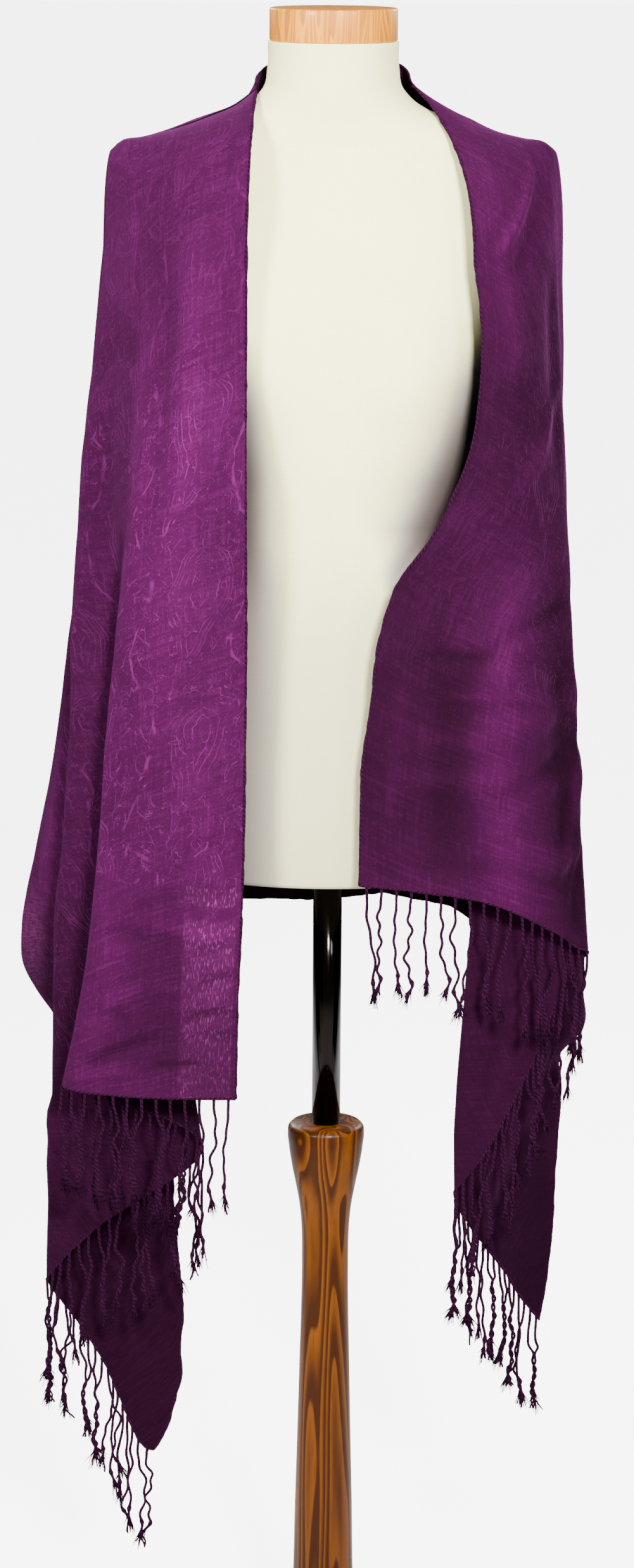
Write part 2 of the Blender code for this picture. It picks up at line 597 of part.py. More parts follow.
def main():
    clear_scene()
    collection = bpy.data.collections.new("Scarf on dress form")
    helpers = bpy.data.collections.new("Strand helpers")
    bpy.context.scene.collection.children.link(collection)
    bpy.context.scene.collection.children.link(helpers)
    finishes = {name: material(name) for name in COLOURS}
    for seed, name in enumerate(STRETCHES):
        points = stretch_points(name)
        wall_object(name, points, WALL, collection, finishes["scarf"])
        if name != "scarf_back":
            fringe = name.replace("scarf", "fringe")
            make_fringe(fringe, points, seed + 11, collection, helpers, finishes["scarf"])
    make_form(collection, finishes["linen"])
    make_stand(collection, finishes)


main()
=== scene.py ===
import math

import bpy
import numpy as np
from mathutils import Matrix


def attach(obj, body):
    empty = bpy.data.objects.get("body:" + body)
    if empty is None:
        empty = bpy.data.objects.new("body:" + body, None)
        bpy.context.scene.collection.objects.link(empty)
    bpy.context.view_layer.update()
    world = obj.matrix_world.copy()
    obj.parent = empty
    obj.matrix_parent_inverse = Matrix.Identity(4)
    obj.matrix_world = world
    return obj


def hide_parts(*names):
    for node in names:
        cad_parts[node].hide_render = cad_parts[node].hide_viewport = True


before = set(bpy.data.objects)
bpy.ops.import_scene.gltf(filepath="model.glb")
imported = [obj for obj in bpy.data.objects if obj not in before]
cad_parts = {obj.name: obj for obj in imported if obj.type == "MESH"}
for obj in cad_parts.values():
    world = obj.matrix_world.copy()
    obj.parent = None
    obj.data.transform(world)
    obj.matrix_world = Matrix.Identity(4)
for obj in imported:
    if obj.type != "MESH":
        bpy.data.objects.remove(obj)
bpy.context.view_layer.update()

# Camera, light and floor

camera = {"place": (-0.0098, -3.55, 1.636), "tiltDown": 12.67, "roll": 0.00638, "lens": 64.39, "sensor": 24.0}
lights = [
    # name, place, aimed at, width, height, watts, spread in degrees, colour
    ("left softbox", (-2.0, -2.5, 2.2), (0.0, 0.0, 1.15), 0.7, 0.8, 45.0, 70.0, (1.0, 0.99, 0.97)),
    ("right softbox", (1.9, -2.6, 2.2), (0.0, 0.0, 1.15), 0.7, 0.8, 11.0, 70.0, (1.0, 0.99, 0.97)),
    ("front", (0.65, -3.4, 2.6), (0.0, 0.0, 1.20), 0.5, 0.5, 63.0, 60.0, (1.0, 0.99, 0.97)),
    ("rear left", (-1.6, 2.9, 2.3), (0.0, 0.0, 1.05), 1.2, 1.0, 46.0, 120.0, (1.0, 1.0, 1.0)),
    ("rear right", (1.8, 2.7, 2.1), (0.0, 0.0, 1.05), 1.2, 1.0, 36.0, 120.0, (1.0, 1.0, 1.0)),
]
# the camera sees the surroundings and the floor as white paper, the pieces are lit by a dimmer one
surroundings = {"colour": (1.0, 1.0, 1.0, 1.0), "strength": 0.22, "seen": 6.0}
floor = {
    "half": 40.0,
    "seen": 5.4,
    "shine": {
        "Roughness": 0.8, "Base Color": (0.80, 0.80, 0.79, 1.0), "Emission Color": (1.0, 1.0, 1.0, 1.0),
        "Specular IOR Level": 0.1,
    },
}


def makeCamera():
    data = bpy.data.cameras.new("camera")
    data.sensor_fit = "VERTICAL"
    data.sensor_height = camera["sensor"]
    data.lens = camera["lens"]
    made = bpy.data.objects.new("camera", data)
    tilt = Matrix.Rotation(math.pi / 2 - math.radians(camera["tiltDown"]), 4, "X")
    made.matrix_world = Matrix.Translation(camera["place"]) @ tilt @ Matrix.Rotation(camera["roll"], 4, "Z")
    bpy.context.scene.collection.objects.link(made)
    bpy.context.scene.camera = made


def makeLights():
    for name, place, aim, width, height, watts, spread, colour in lights:
        data = bpy.data.lights.new(name, "AREA")
        data.shape = "RECTANGLE"
        data.size, data.size_y = width, height
        data.energy = watts
        data.spread = math.radians(spread)
        data.color = colour
        made = bpy.data.objects.new(name, data)
        toward = np.array(aim) - np.array(place)
        flat = math.hypot(toward[0], toward[1])
        made.location = place
        made.rotation_euler = (math.atan2(flat, -toward[2]), 0.0, math.atan2(-toward[0], toward[1]))
        bpy.context.scene.collection.objects.link(made)
    world = bpy.data.worlds.new("surroundings")
    world.use_nodes = True
    world.node_tree.nodes["Background"].inputs["Color"].default_value = surroundings["colour"]
    tree = world.node_tree
    seen = addNode(tree, "ShaderNodeLightPath").outputs["Is Camera Ray"]
    strength = fade(tree, seen, 0.0, 1.0, surroundings["strength"], surroundings["seen"])
    tree.links.new(strength, tree.nodes["Background"].inputs["Strength"])
    bpy.context.scene.world = world


# Small helpers for meshes

def linkMesh(name, points, faceSets, finish, uvSets=None, loopNormals=None, smooth=True):
    # points (n, 3), faceSets a list of (m, k) arrays of corner numbers, uvSets {name: (n, 2)}
    mesh = bpy.data.meshes.new(name)
    corners = np.concatenate([faces.ravel() for faces in faceSets]).astype(np.int32)
    sizes = np.concatenate([np.full(len(faces), faces.shape[1]) for faces in faceSets])
    starts = np.r_[0, np.cumsum(sizes)[:-1]].astype(np.int32)
    mesh.vertices.add(len(points))
    mesh.vertices.foreach_set("co", points.astype(np.float32).ravel())
    mesh.loops.add(len(corners))
    mesh.loops.foreach_set("vertex_index", corners)
    mesh.polygons.add(len(starts))
    mesh.polygons.foreach_set("loop_start", starts)
    mesh.update(calc_edges=True)
    for uvName, uv in (uvSets or {}).items():
        layer = mesh.uv_layers.new(name=uvName)
        layer.data.foreach_set("uv", uv[corners].astype(np.float32).ravel())
    if smooth:
        mesh.polygons.foreach_set("use_smooth", np.ones(len(starts), dtype=bool))
    if loopNormals is not None:
        mesh.normals_split_custom_set(loopNormals.astype(np.float32))
    mesh.materials.append(finish)
    made = bpy.data.objects.new(name, mesh)
    bpy.context.scene.collection.objects.link(made)
    return made


def unit(vectors):
    return vectors / np.maximum(np.linalg.norm(vectors, axis=-1, keepdims=True), 1e-12)


def smoothstep(value, low, high):
    t = np.clip((value - low) / (high - low), 0.0, 1.0)
    return t * t * (3 - 2 * t)


def smoothRead(rows, at):
    # cubic Hermite curve through the rows sorted by their first column, each slope from its two neighbours
    rows = np.array(sorted(rows), dtype=float)
    knots, values = rows[:, 0], rows[:, 1:]
    slopes = np.gradient(values, knots, axis=0)
    place = np.clip(at, knots[0], knots[-1])
    cell = np.clip(np.searchsorted(knots, place, side="right") - 1, 0, len(knots) - 2)
    span = (knots[cell + 1] - knots[cell])[..., None]
    t = (place - knots[cell])[..., None] / span
    return (
        (1 + 2 * t) * (1 - t) ** 2 * values[cell]
        + t * (1 - t) ** 2 * span * slopes[cell]
        + t * t * (3 - 2 * t) * values[cell + 1]
        + t * t * (t - 1) * span * slopes[cell + 1]
    )


def straightRead(rows, at):
    rows = np.array(rows, dtype=float)
    return np.interp(at, rows[:, 0], rows[:, 1])


def readAlong(run, values, at):
    # rows of values given at each run, read at other places
    order = np.argsort(run, kind="stable")
    return np.stack([np.interp(at, run[order], values[order, k]) for k in range(values.shape[1])], -1)


def runFrom(points, axis):
    # metres along the lines of a grid of points, from its first row or column
    steps = np.linalg.norm(np.diff(points, axis=axis), axis=2)
    return np.cumsum(np.insert(steps, 0, 0.0, axis=axis), axis=axis)


def lengthAlong(line):
    return np.r_[0.0, np.cumsum(np.linalg.norm(np.diff(line, axis=0), axis=1))]


def latticeNoise(points, cell, seed):
    # random values on a box lattice with spacing cell, blended by smoothstep along each axis, from -1 to 1
    spot = points / np.array(cell) + 50.0
    base = np.floor(spot).astype(int)
    f = spot - base
    f = f * f * (3 - 2 * f)
    size = base.reshape(-1, 3).max(axis=0) + 2
    values = np.random.default_rng(seed).uniform(-1.0, 1.0, size)
    total = 0.0
    for dx in (0, 1):
        for dy in (0, 1):
            for dz in (0, 1):
                share = (
                    (f[..., 0] if dx else 1 - f[..., 0])
                    * (f[..., 1] if dy else 1 - f[..., 1])
                    * (f[..., 2] if dz else 1 - f[..., 2])
                )
                total = total + share * values[base[..., 0] + dx, base[..., 1] + dy, base[..., 2] + dz]
    return total


def sweptTubes(paths, radii, sides, turn=0.0):
    # a ring of corners round each path point: radius times (cos a, sin a) in the plane square to the path
    along = unit(np.gradient(paths, axis=1))
    across = unit(np.cross(along, np.array([0.0, 1.0, 0.02])))
    other = np.cross(along, across)
    angle = 2 * math.pi * np.arange(sides) / sides + turn
    rings = paths[:, :, None] + radii[:, :, None, None] * (
        np.cos(angle)[:, None] * across[:, :, None] + np.sin(angle)[:, None] * other[:, :, None]
    )
    count, steps = paths.shape[:2]
    index = np.arange(count * steps * sides).reshape(count, steps, sides)
    nextOne = np.roll(index, -1, axis=2)
    walls = np.stack([index[:, :-1], nextOne[:, :-1], nextOne[:, 1:], index[:, 1:]], -1).reshape(-1, 4)
    caps = np.concatenate([index[:, 0, ::-1], index[:, -1]])
    run = np.concatenate(
        [np.zeros((count, 1)), np.cumsum(np.linalg.norm(np.diff(paths, axis=1), axis=2), axis=1)], axis=1
    )
    share = np.broadcast_to(np.arange(sides) / sides, index.shape)
    uv = np.stack([share, np.broadcast_to(run[..., None], index.shape)], -1)
    return rings.reshape(-1, 3), walls, caps, uv.reshape(-1, 2)


# Small helpers for materials

def addNode(tree, kind, settings=None, inputs=None):
    made = tree.nodes.new(kind)
    for key, value in (settings or {}).items():
        setattr(made, key, value)
    for key, value in (inputs or {}).items():
        if isinstance(value, bpy.types.NodeSocket):
            tree.links.new(value, made.inputs[key])
        else:
            made.inputs[key].default_value = value
    return made


def calc(tree, operation, *values):
    return addNode(tree, "ShaderNodeMath", {"operation": operation}, dict(enumerate(values))).outputs[0]


def plus(tree, first, *others):
    for other in others:
        first = calc(tree, "ADD", first, other)
    return first


def minus(tree, first, second):
    return calc(tree, "SUBTRACT", first, second)


def product(tree, first, *others):
    for other in others:
        first = calc(tree, "MULTIPLY", first, other)
    return first


def fade(tree, value, low, high, toLow=0.0, toHigh=1.0):
    made = addNode(
        tree, "ShaderNodeMapRange", {"interpolation_type": "SMOOTHSTEP"},
        {"Value": value, "From Min": low, "From Max": high, "To Min": toLow, "To Max": toHigh},
    )
    return made.outputs["Result"]


def lineAt(tree, value, centre, half):
    return fade(tree, calc(tree, "ABSOLUTE", minus(tree, value, centre)), half, half * 0.35)


def blendColour(tree, share, first, second):
    return addNode(tree, "ShaderNodeMix", {"data_type": "RGBA"}, {0: share, 6: first, 7: second}).outputs[2]


def splitVector(tree, vector):
    return addNode(tree, "ShaderNodeSeparateXYZ", None, {"Vector": vector}).outputs


def joinVector(tree, x, y, z=0.0):
    return addNode(tree, "ShaderNodeCombineXYZ", None, {"X": x, "Y": y, "Z": z}).outputs[0]


def stretched(tree, vector, *scale):
    return addNode(tree, "ShaderNodeMapping", None, {"Vector": vector, "Scale": scale}).outputs[0]


def noiseAt(tree, vector, scale, detail, **more):
    inputs = {"Vector": vector, "Scale": scale, "Detail": detail, **more}
    return addNode(tree, "ShaderNodeTexNoise", None, inputs).outputs


def uvMap(tree, name):
    return addNode(tree, "ShaderNodeUVMap", {"uv_map": name}).outputs[0]


def objectSpot(tree):
    return addNode(tree, "ShaderNodeTexCoord").outputs["Object"]


def newGroup(name, inputs, outputs):
    # an input is a number with its usual value, or a vector where that is None, and the outputs are numbers
    tree = bpy.data.node_groups.new(name, "ShaderNodeTree")
    for socketName, value in inputs.items():
        kind = "NodeSocketVector" if value is None else "NodeSocketFloat"
        socket = tree.interface.new_socket(socketName, in_out="INPUT", socket_type=kind)
        if value is not None:
            socket.default_value = value
    for socketName in outputs:
        tree.interface.new_socket(socketName, in_out="OUTPUT", socket_type="NodeSocketFloat")
    return tree, tree.nodes.new("NodeGroupInput").outputs, tree.nodes.new("NodeGroupOutput").inputs


def useGroup(tree, group, **inputs):
    return addNode(tree, "ShaderNodeGroup", {"node_tree": group}, inputs).outputs


def newMaterial(name, shine):
    made = bpy.data.materials.new(name)
    made.use_nodes = True
    shader = made.node_tree.nodes["Principled BSDF"]
    for key, value in shine.items():
        shader.inputs[key].default_value = value
    return made, made.node_tree, shader


def dressShader(tree, shader, colour, height):
    # height is that of the bump, in metres
    bump = addNode(tree, "ShaderNodeBump", None, {"Strength": 1.0, "Distance": 1.0, "Height": height})
    tree.links.new(colour, shader.inputs["Base Color"])
    tree.links.new(bump.outputs[0], shader.inputs["Normal"])


def makeWeaveGroup():
    # two sets of stretched noise, one along each thread direction, so that threads vary in width and tone
    inputs = {"Vector": None, "Pitch": 0.0009, "Stretch": 14.0}
    tree, given, out = newGroup("slubbedWeave", inputs, ["Height", "Tone"])
    spot = splitVector(tree, given["Vector"])
    fine = calc(tree, "DIVIDE", 1.0, given["Pitch"])
    coarse = calc(tree, "DIVIDE", fine, given["Stretch"])
    threads = []
    for across, along, shift in ((fine, coarse, 0.0), (coarse, fine, 31.7)):
        thread = joinVector(tree, product(tree, spot["X"], across), product(tree, spot["Y"], along), shift)
        threads.append(noiseAt(tree, thread, 1.0, 2.0, Roughness=0.6)["Fac"])
    both = plus(tree, *threads)
    tree.links.new(product(tree, both, 0.5), out["Height"])
    tree.links.new(fade(tree, both, 0.75, 1.25), out["Tone"])
    return tree


def teardrop(tree, u, v, width, height, curl, fat, fill):
    # one curled teardrop in each cell of a half-drop layout, each second column flipped: half width
    # fat * sqrt(t) * (1 - t)^1.5 round a middle line curl * t^2.2, t from 0 at the round end to 1 at the tip
    column = calc(tree, "DIVIDE", u, width)
    odd = calc(tree, "FLOORED_MODULO", calc(tree, "FLOOR", column), 2.0)
    row = plus(tree, calc(tree, "DIVIDE", v, height), product(tree, odd, 0.5))
    flip = minus(tree, 1.0, product(tree, odd, 2.0))
    across = product(tree, minus(tree, calc(tree, "FRACT", column), 0.5), flip)
    across = product(tree, across, calc(tree, "DIVIDE", product(tree, width, fill * 2), height))
    t = plus(tree, product(tree, minus(tree, calc(tree, "FRACT", row), 0.5), fill), 0.5)
    t = addNode(tree, "ShaderNodeClamp", None, {"Value": t}).outputs[0]
    belly = product(tree, calc(tree, "POWER", t, 0.5), calc(tree, "POWER", minus(tree, 1.0, t), 1.5))
    middle = minus(tree, product(tree, calc(tree, "POWER", t, 2.2), curl), curl * 0.28)
    return minus(tree, product(tree, belly, fat), calc(tree, "ABSOLUTE", minus(tree, across, middle)))


def drifted(tree, vector, scale, size):
    # the point moved by up to size in a noise of this scale
    noise = noiseAt(tree, vector, scale, 1.0)["Color"]
    steps = {"SUBTRACT": {1: (0.5, 0.5, 0.5)}, "SCALE": {"Scale": size}, "ADD": {1: vector}}
    for operation, inputs in steps.items():
        made = addNode(tree, "ShaderNodeVectorMath", {"operation": operation}, {0: noise, **inputs})
        noise = made.outputs[0]
    return noise


paisley = {
    "drifts": ((17.0, 0.034), (95.0, 0.0045)),  # scale of the noise, how far it bends the lines
    "drop": {"curl": 0.52, "fat": 1.30, "fill": 1.12},
    "smallDrop": {"curl": 0.5, "fat": 1.4, "fill": 1.25},
    "smallShares": {"Width": 0.27, "Height": 0.22},
    "rings": 62.0,
    "vineSway": 0.13,
    "patchScale": 48.0,
}


def makePaisleyGroup():
    # curled teardrops with nested outlines, wavy vines between the columns and small drops in the ground,
    # all bent by two drifts and broken into strokes by a patchy mask
    inputs = {"Vector": None, "Width": 0.1, "Height": 0.15}
    tree, given, out = newGroup("paisleyJacquard", inputs, ["Figure", "Body"])
    spot = given["Vector"]
    for scale, size in paisley["drifts"]:
        spot = drifted(tree, spot, scale, size)
    u, v = splitVector(tree, spot)[:2]
    inside = teardrop(tree, u, v, given["Width"], given["Height"], **paisley["drop"])
    outline = calc(tree, "MAXIMUM", lineAt(tree, inside, 0.0, 0.016), lineAt(tree, inside, 0.060, 0.013))
    rings = calc(tree, "SINE", product(tree, inside, paisley["rings"]))
    nested = product(tree, fade(tree, rings, 0.55, 0.98), fade(tree, inside, 0.085, 0.10))
    wave = calc(tree, "SINE", product(tree, calc(tree, "DIVIDE", v, given["Height"]), 2 * math.pi))
    vine = plus(tree, calc(tree, "DIVIDE", u, given["Width"]), product(tree, wave, paisley["vineSway"]))
    vine = minus(tree, 0.5, calc(tree, "ABSOLUTE", minus(tree, calc(tree, "FRACT", vine), 0.5)))
    smallSize = [product(tree, given[key], share) for key, share in paisley["smallShares"].items()]
    sprig = lineAt(tree, teardrop(tree, u, v, *smallSize, **paisley["smallDrop"]), 0.0, 0.06)
    loose = calc(tree, "MAXIMUM", fade(tree, vine, 0.022, 0.010), sprig)
    loose = product(tree, loose, fade(tree, inside, -0.04, -0.08))
    lines = calc(tree, "MAXIMUM", calc(tree, "MAXIMUM", outline, nested), loose)
    patch = noiseAt(tree, given["Vector"], paisley["patchScale"], 2.0)["Fac"]
    tree.links.new(product(tree, lines, fade(tree, patch, 0.42, 0.60)), out["Figure"])
    tree.links.new(fade(tree, inside, -0.01, 0.03), out["Body"])
    return tree


def makeCrinkleGroup():
    # thin arcs where a bent noise crosses its middle value, cut into short strokes by a second noise
    tree, given, out = newGroup("crinkleStrokes", {"Vector": None, "Scale": 30.0, "Amount": 0.5}, ["Stroke"])
    bent = noiseAt(tree, given["Vector"], given["Scale"], 2.0, Roughness=0.55, Distortion=1.4)["Fac"]
    cut = noiseAt(tree, given["Vector"], product(tree, given["Scale"], 2.1), 1.0)["Fac"]
    past = minus(tree, cut, minus(tree, 0.72, product(tree, given["Amount"], 0.4)))
    tree.links.new(product(tree, lineAt(tree, bent, 0.5, 0.013), fade(tree, past, 0.0, 0.07)), out["Stroke"])
    return tree


def makeGrainGroup():
    # growth rings cut along the trunk: waves of noise stretched by Stretch along Z, with fine pores on top
    tree, given, out = newGroup(
        "woodGrain", {"Vector": None, "Scale": 60.0, "Stretch": 0.06, "Bands": 9.0}, ["Ring", "Pore", "Patch"]
    )
    x, y, z = splitVector(tree, given["Vector"])
    spot = joinVector(tree, x, y, product(tree, z, given["Stretch"]))
    slow = noiseAt(tree, spot, given["Scale"], 1.5, Roughness=0.45)["Fac"]
    rings = calc(tree, "FRACT", product(tree, slow, given["Bands"]))
    pores = noiseAt(tree, spot, product(tree, given["Scale"], 22.0), 2.0)["Fac"]
    patch = noiseAt(tree, spot, product(tree, given["Scale"], 0.4), 1.0)["Fac"]
    tree.links.new(product(tree, fade(tree, rings, 0.0, 0.72), fade(tree, rings, 1.0, 0.90)), out["Ring"])
    tree.links.new(fade(tree, pores, 0.52, 0.70), out["Pore"])
    tree.links.new(patch, out["Patch"])
    return tree


weaveGroup = makeWeaveGroup()
paisleyGroup = makePaisleyGroup()
crinkleGroup = makeCrinkleGroup()
grainGroup = makeGrainGroup()
print("node groups made")


# Scarf: one rectangle of cloth. At every height a level section runs from the left front edge through the
# folds of the left fall, round the back and through the folds of the right fall to the right front edge.

scarf = {
    "thickness": 0.0008,
    "spacing": 0.0036,  # between columns on the falls
    "backSpacing": 0.0046,
    "topRows": 44,
    "fallRows": 176,
    "tailRows": 76,
    "join": 1.30,  # height where the shoulder slope turns into the hanging fall
    "foldHalf": 0.009,  # half the spacing in depth of the two layers at a fold
    "slant": {"left": 0.0058, "right": 0.0030, "from": 0.98, "full": 1.18},
    "freeBelow": {"left": 0.675, "right": 0.600},
    "freeOver": 0.040,
    "neck": (13.5, 16.5),  # the places where the standing neck edge begins and ends
    "neckAcross": 0.064,
    "neckDeep": 0.066,
    "neckRise": 0.0240,
    "spacingHeights": (1.20, 0.95, 0.72),
    "clearance": 0.0016,  # of the form, between these two heights
    "clearLow": 0.768,
    "clearHigh": 1.34,
    "creaseDepth": 1.8,  # the creases table is written for cloth pulled tight
    "creaseFade": (1.38, 1.24),  # from the ridge of the shoulder down to the full creases
    # painted shade in the creases: share for each metre of crease, and the most it reaches
    "creaseShadeRate": 70.0,
    "creaseShadeMost": 0.32,
    "bandHeight": 0.163,  # the plain end band above each hem
}

# Rows are height, across, depth, from the top down
foldLines = {
    "left front edge": [
        (1.3, -0.0702, -0.113), (1.25, -0.0701, -0.128), (1.153, -0.0699, -0.133), (0.935, -0.0695, -0.133),
        (0.756, -0.0723, -0.132), (0.664, -0.0759, -0.131), (0.592, -0.0772, -0.128),
    ],
    "left front panel": [
        (1.3, -0.12, -0.103), (1.2, -0.122, -0.12), (1.0, -0.128, -0.128), (0.8, -0.138, -0.127),
        (0.59, -0.154, -0.124),
    ],
    "left front fold": [
        (1.3, -0.153, -0.066), (1.217, -0.157, -0.076), (1.157, -0.161, -0.082), (1.057, -0.172, -0.09),
        (0.927, -0.187, -0.096), (0.781, -0.1985, -0.1), (0.71, -0.206, -0.101), (0.639, -0.217, -0.1),
        (0.592, -0.229, -0.098),
    ],
    "left inner fold": [
        (1.3, -0.172, -0.043), (1.2, -0.177, -0.05), (1.07, -0.179, -0.06), (0.95, -0.165, -0.06),
        (0.857, -0.15, -0.061), (0.75, -0.129, -0.063), (0.65, -0.116, -0.064), (0.569, -0.11, -0.062),
        (0.528, -0.105, -0.06),
    ],
    "left side fold": [
        (1.3, -0.185, -0.022), (1.2, -0.196, -0.026), (1.072, -0.211, -0.03), (0.985, -0.218, -0.031),
        (0.844, -0.226, -0.031), (0.712, -0.236, -0.03), (0.562, -0.241, -0.029), (0.394, -0.2485, -0.026),
    ],
    "left valley": [
        (1.3, -0.19, -0.008), (1.072, -0.208, -0.008), (0.9, -0.214, -0.004), (0.75, -0.218, 0.0),
        (0.64, -0.223, 0.006), (0.55, -0.215, 0.006), (0.49, -0.2, 0.004), (0.35, -0.19, 0.0),
        (0.222, -0.195, 0.002),
    ],
    "left back edge": [
        (1.3, -0.194, 0.006), (1.188, -0.203, 0.008), (1.072, -0.213, 0.012), (0.94, -0.232, 0.02),
        (0.838, -0.248, 0.026), (0.769, -0.262, 0.03), (0.7, -0.274, 0.032), (0.665, -0.2735, 0.032),
        (0.635, -0.252, 0.03), (0.6, -0.23, 0.022), (0.55, -0.2, 0.018), (0.487, -0.164, 0.014),
        (0.348, -0.156, 0.008), (0.222, -0.172, 0.006),
    ],
    "left selvedge": [
        (1.3, -0.189, 0.024), (1.188, -0.198, 0.032), (1.072, -0.206, 0.038), (0.94, -0.225, 0.048),
        (0.838, -0.24, 0.054), (0.769, -0.254, 0.056), (0.7, -0.267, 0.054), (0.665, -0.266, 0.05),
        (0.64, -0.256, 0.044), (0.6245, -0.242, 0.04), (0.585, -0.208, 0.034), (0.53, -0.165, 0.028),
        (0.487, -0.1385, 0.022), (0.446, -0.1352, 0.017), (0.396, -0.1302, 0.013), (0.348, -0.1263, 0.01),
        (0.317, -0.1292, 0.009), (0.292, -0.1276, 0.008), (0.274, -0.1327, 0.008), (0.242, -0.1418, 0.008),
        (0.222, -0.153, 0.008),
    ],
    "left back": [
        (1.3, -0.16, 0.09), (1.15, -0.166, 0.108), (0.9, -0.175, 0.118), (0.68, -0.185, 0.126),
    ],
    "left back middle": [
        (1.3, -0.085, 0.118), (1.15, -0.088, 0.126), (0.9, -0.09, 0.124), (0.69, -0.09, 0.128),
    ],
    "back middle": [
        (1.3, 0.0, 0.118), (1.15, 0.0, 0.12), (0.9, -0.003, 0.134), (0.69, -0.006, 0.142),
    ],
    "right back middle": [
        (1.3, 0.085, 0.118), (1.15, 0.088, 0.126), (0.9, 0.088, 0.124), (0.69, 0.088, 0.127),
    ],
    "right back": [
        (1.3, 0.16, 0.09), (1.15, 0.165, 0.106), (0.9, 0.168, 0.116), (0.6, 0.176, 0.124),
    ],
    "right selvedge": [
        (1.3, 0.189, 0.024), (1.188, 0.194, 0.033), (1.0, 0.202, 0.046), (0.8, 0.214, 0.06),
        (0.64, 0.226, 0.066), (0.605, 0.2265, 0.064), (0.59, 0.216, 0.06), (0.575, 0.2085, 0.056),
        (0.55, 0.208, 0.054), (0.498, 0.2058, 0.052), (0.396, 0.202, 0.05), (0.333, 0.1945, 0.048),
    ],
    "right back edge": [
        (1.3, 0.1945, 0.014), (1.188, 0.1985, 0.016), (1.0, 0.205, 0.022), (0.8, 0.217, 0.03),
        (0.64, 0.231, 0.04), (0.605, 0.23, 0.042), (0.58, 0.198, 0.034), (0.498, 0.186, 0.03),
        (0.333, 0.176, 0.03),
    ],
    "right valley": [
        (1.3, 0.194, 0.006), (1.1, 0.196, 0.002), (0.95, 0.19, -0.006), (0.8, 0.178, -0.01),
        (0.65, 0.164, -0.01), (0.5, 0.15, -0.01), (0.333, 0.15, 0.0),
    ],
    "right inner fold": [
        (1.3, 0.192, -0.008), (1.2, 0.196, -0.01), (1.09, 0.193, -0.019), (0.95, 0.17, -0.056),
        (0.85, 0.15, -0.072), (0.757, 0.122, -0.078), (0.654, 0.115, -0.076), (0.561, 0.1095, -0.07),
        (0.492, 0.1095, -0.066),
    ],
    "right side fold": [
        (1.3, 0.184, -0.034), (1.19, 0.192, -0.036), (1.077, 0.2, -0.039), (1.001, 0.206, -0.038),
        (0.946, 0.21, -0.04), (0.835, 0.2185, -0.042), (0.732, 0.225, -0.042), (0.698, 0.2275, -0.042),
        (0.6, 0.232, -0.042),
    ],
    "right front panel": [
        (1.3, 0.152, -0.086), (1.243, 0.162, -0.096), (1.14, 0.164, -0.1), (1.05, 0.148, -0.108),
        (0.95, 0.142, -0.114), (0.8, 0.142, -0.116), (0.69, 0.145, -0.112),
    ],
    "right front edge": [
        (1.3, 0.1159, -0.108), (1.243, 0.1226, -0.118), (1.203, 0.1218, -0.122), (1.14, 0.1128, -0.124),
        (1.093, 0.0934, -0.125), (1.066, 0.0785, -0.126), (1.037, 0.0569, -0.127), (1.012, 0.0472, -0.128),
        (0.985, 0.0406, -0.128), (0.933, 0.0347, -0.129), (0.882, 0.0282, -0.129), (0.834, 0.027, -0.128),
        (0.78, 0.0264, -0.126),
    ],
}

# The ridge of each shoulder. Rows are distance from the middle, depth, height
ridges = {
    "left": [
        (0.064, 0.0, 1.431), (0.08, 0.002, 1.4185), (0.1, 0.004, 1.4095), (0.13, 0.006, 1.3985),
        (0.16, 0.008, 1.3905), (0.178, 0.009, 1.3865), (0.1865, 0.01, 1.379),
    ],
    "right": [
        (0.066, 0.0, 1.436), (0.08, 0.002, 1.426), (0.1, 0.004, 1.413), (0.13, 0.006, 1.399),
        (0.16, 0.008, 1.3915), (0.178, 0.009, 1.388), (0.1875, 0.01, 1.38),
    ],
}

# Where each place along the section starts on the ridge, as its distance from the middle
starts = {
    "left": [(0, 0.064), (1, 0.115), (2.5, 0.155), (5.5, 0.172), (8.5, 0.181), (12, 0.1865)],
    "right": [(18, 0.1875), (21.5, 0.182), (24.5, 0.174), (25.5, 0.135), (27, 0.066)],
    "back": [(12, -0.1865), (13.5, -0.064), (16.5, 0.066), (18, 0.1875)],
}

# How each place leaves its start: place, share of the way out, shift across, drop
leaving = [
    (0, 0.5, 0.002, 0.006), (1, 0.6, 0.0, 0.0), (12, 0.6, 0.0, 0.0), (13, 0.6, 0.0, 0.002),
    (13.6, 0.2, 0.0, 0.024), (14, 0.12, 0.0, 0.034), (16, 0.12, 0.0, 0.034), (16.4, 0.2, 0.0, 0.024),
    (17, 0.6, 0.0, 0.002), (18, 0.6, 0.0, 0.0), (25.5, 0.6, 0.0, 0.0), (26.3, 0.45, 0.004, 0.012),
    (27, 0.17, 0.024, 0.03),
]

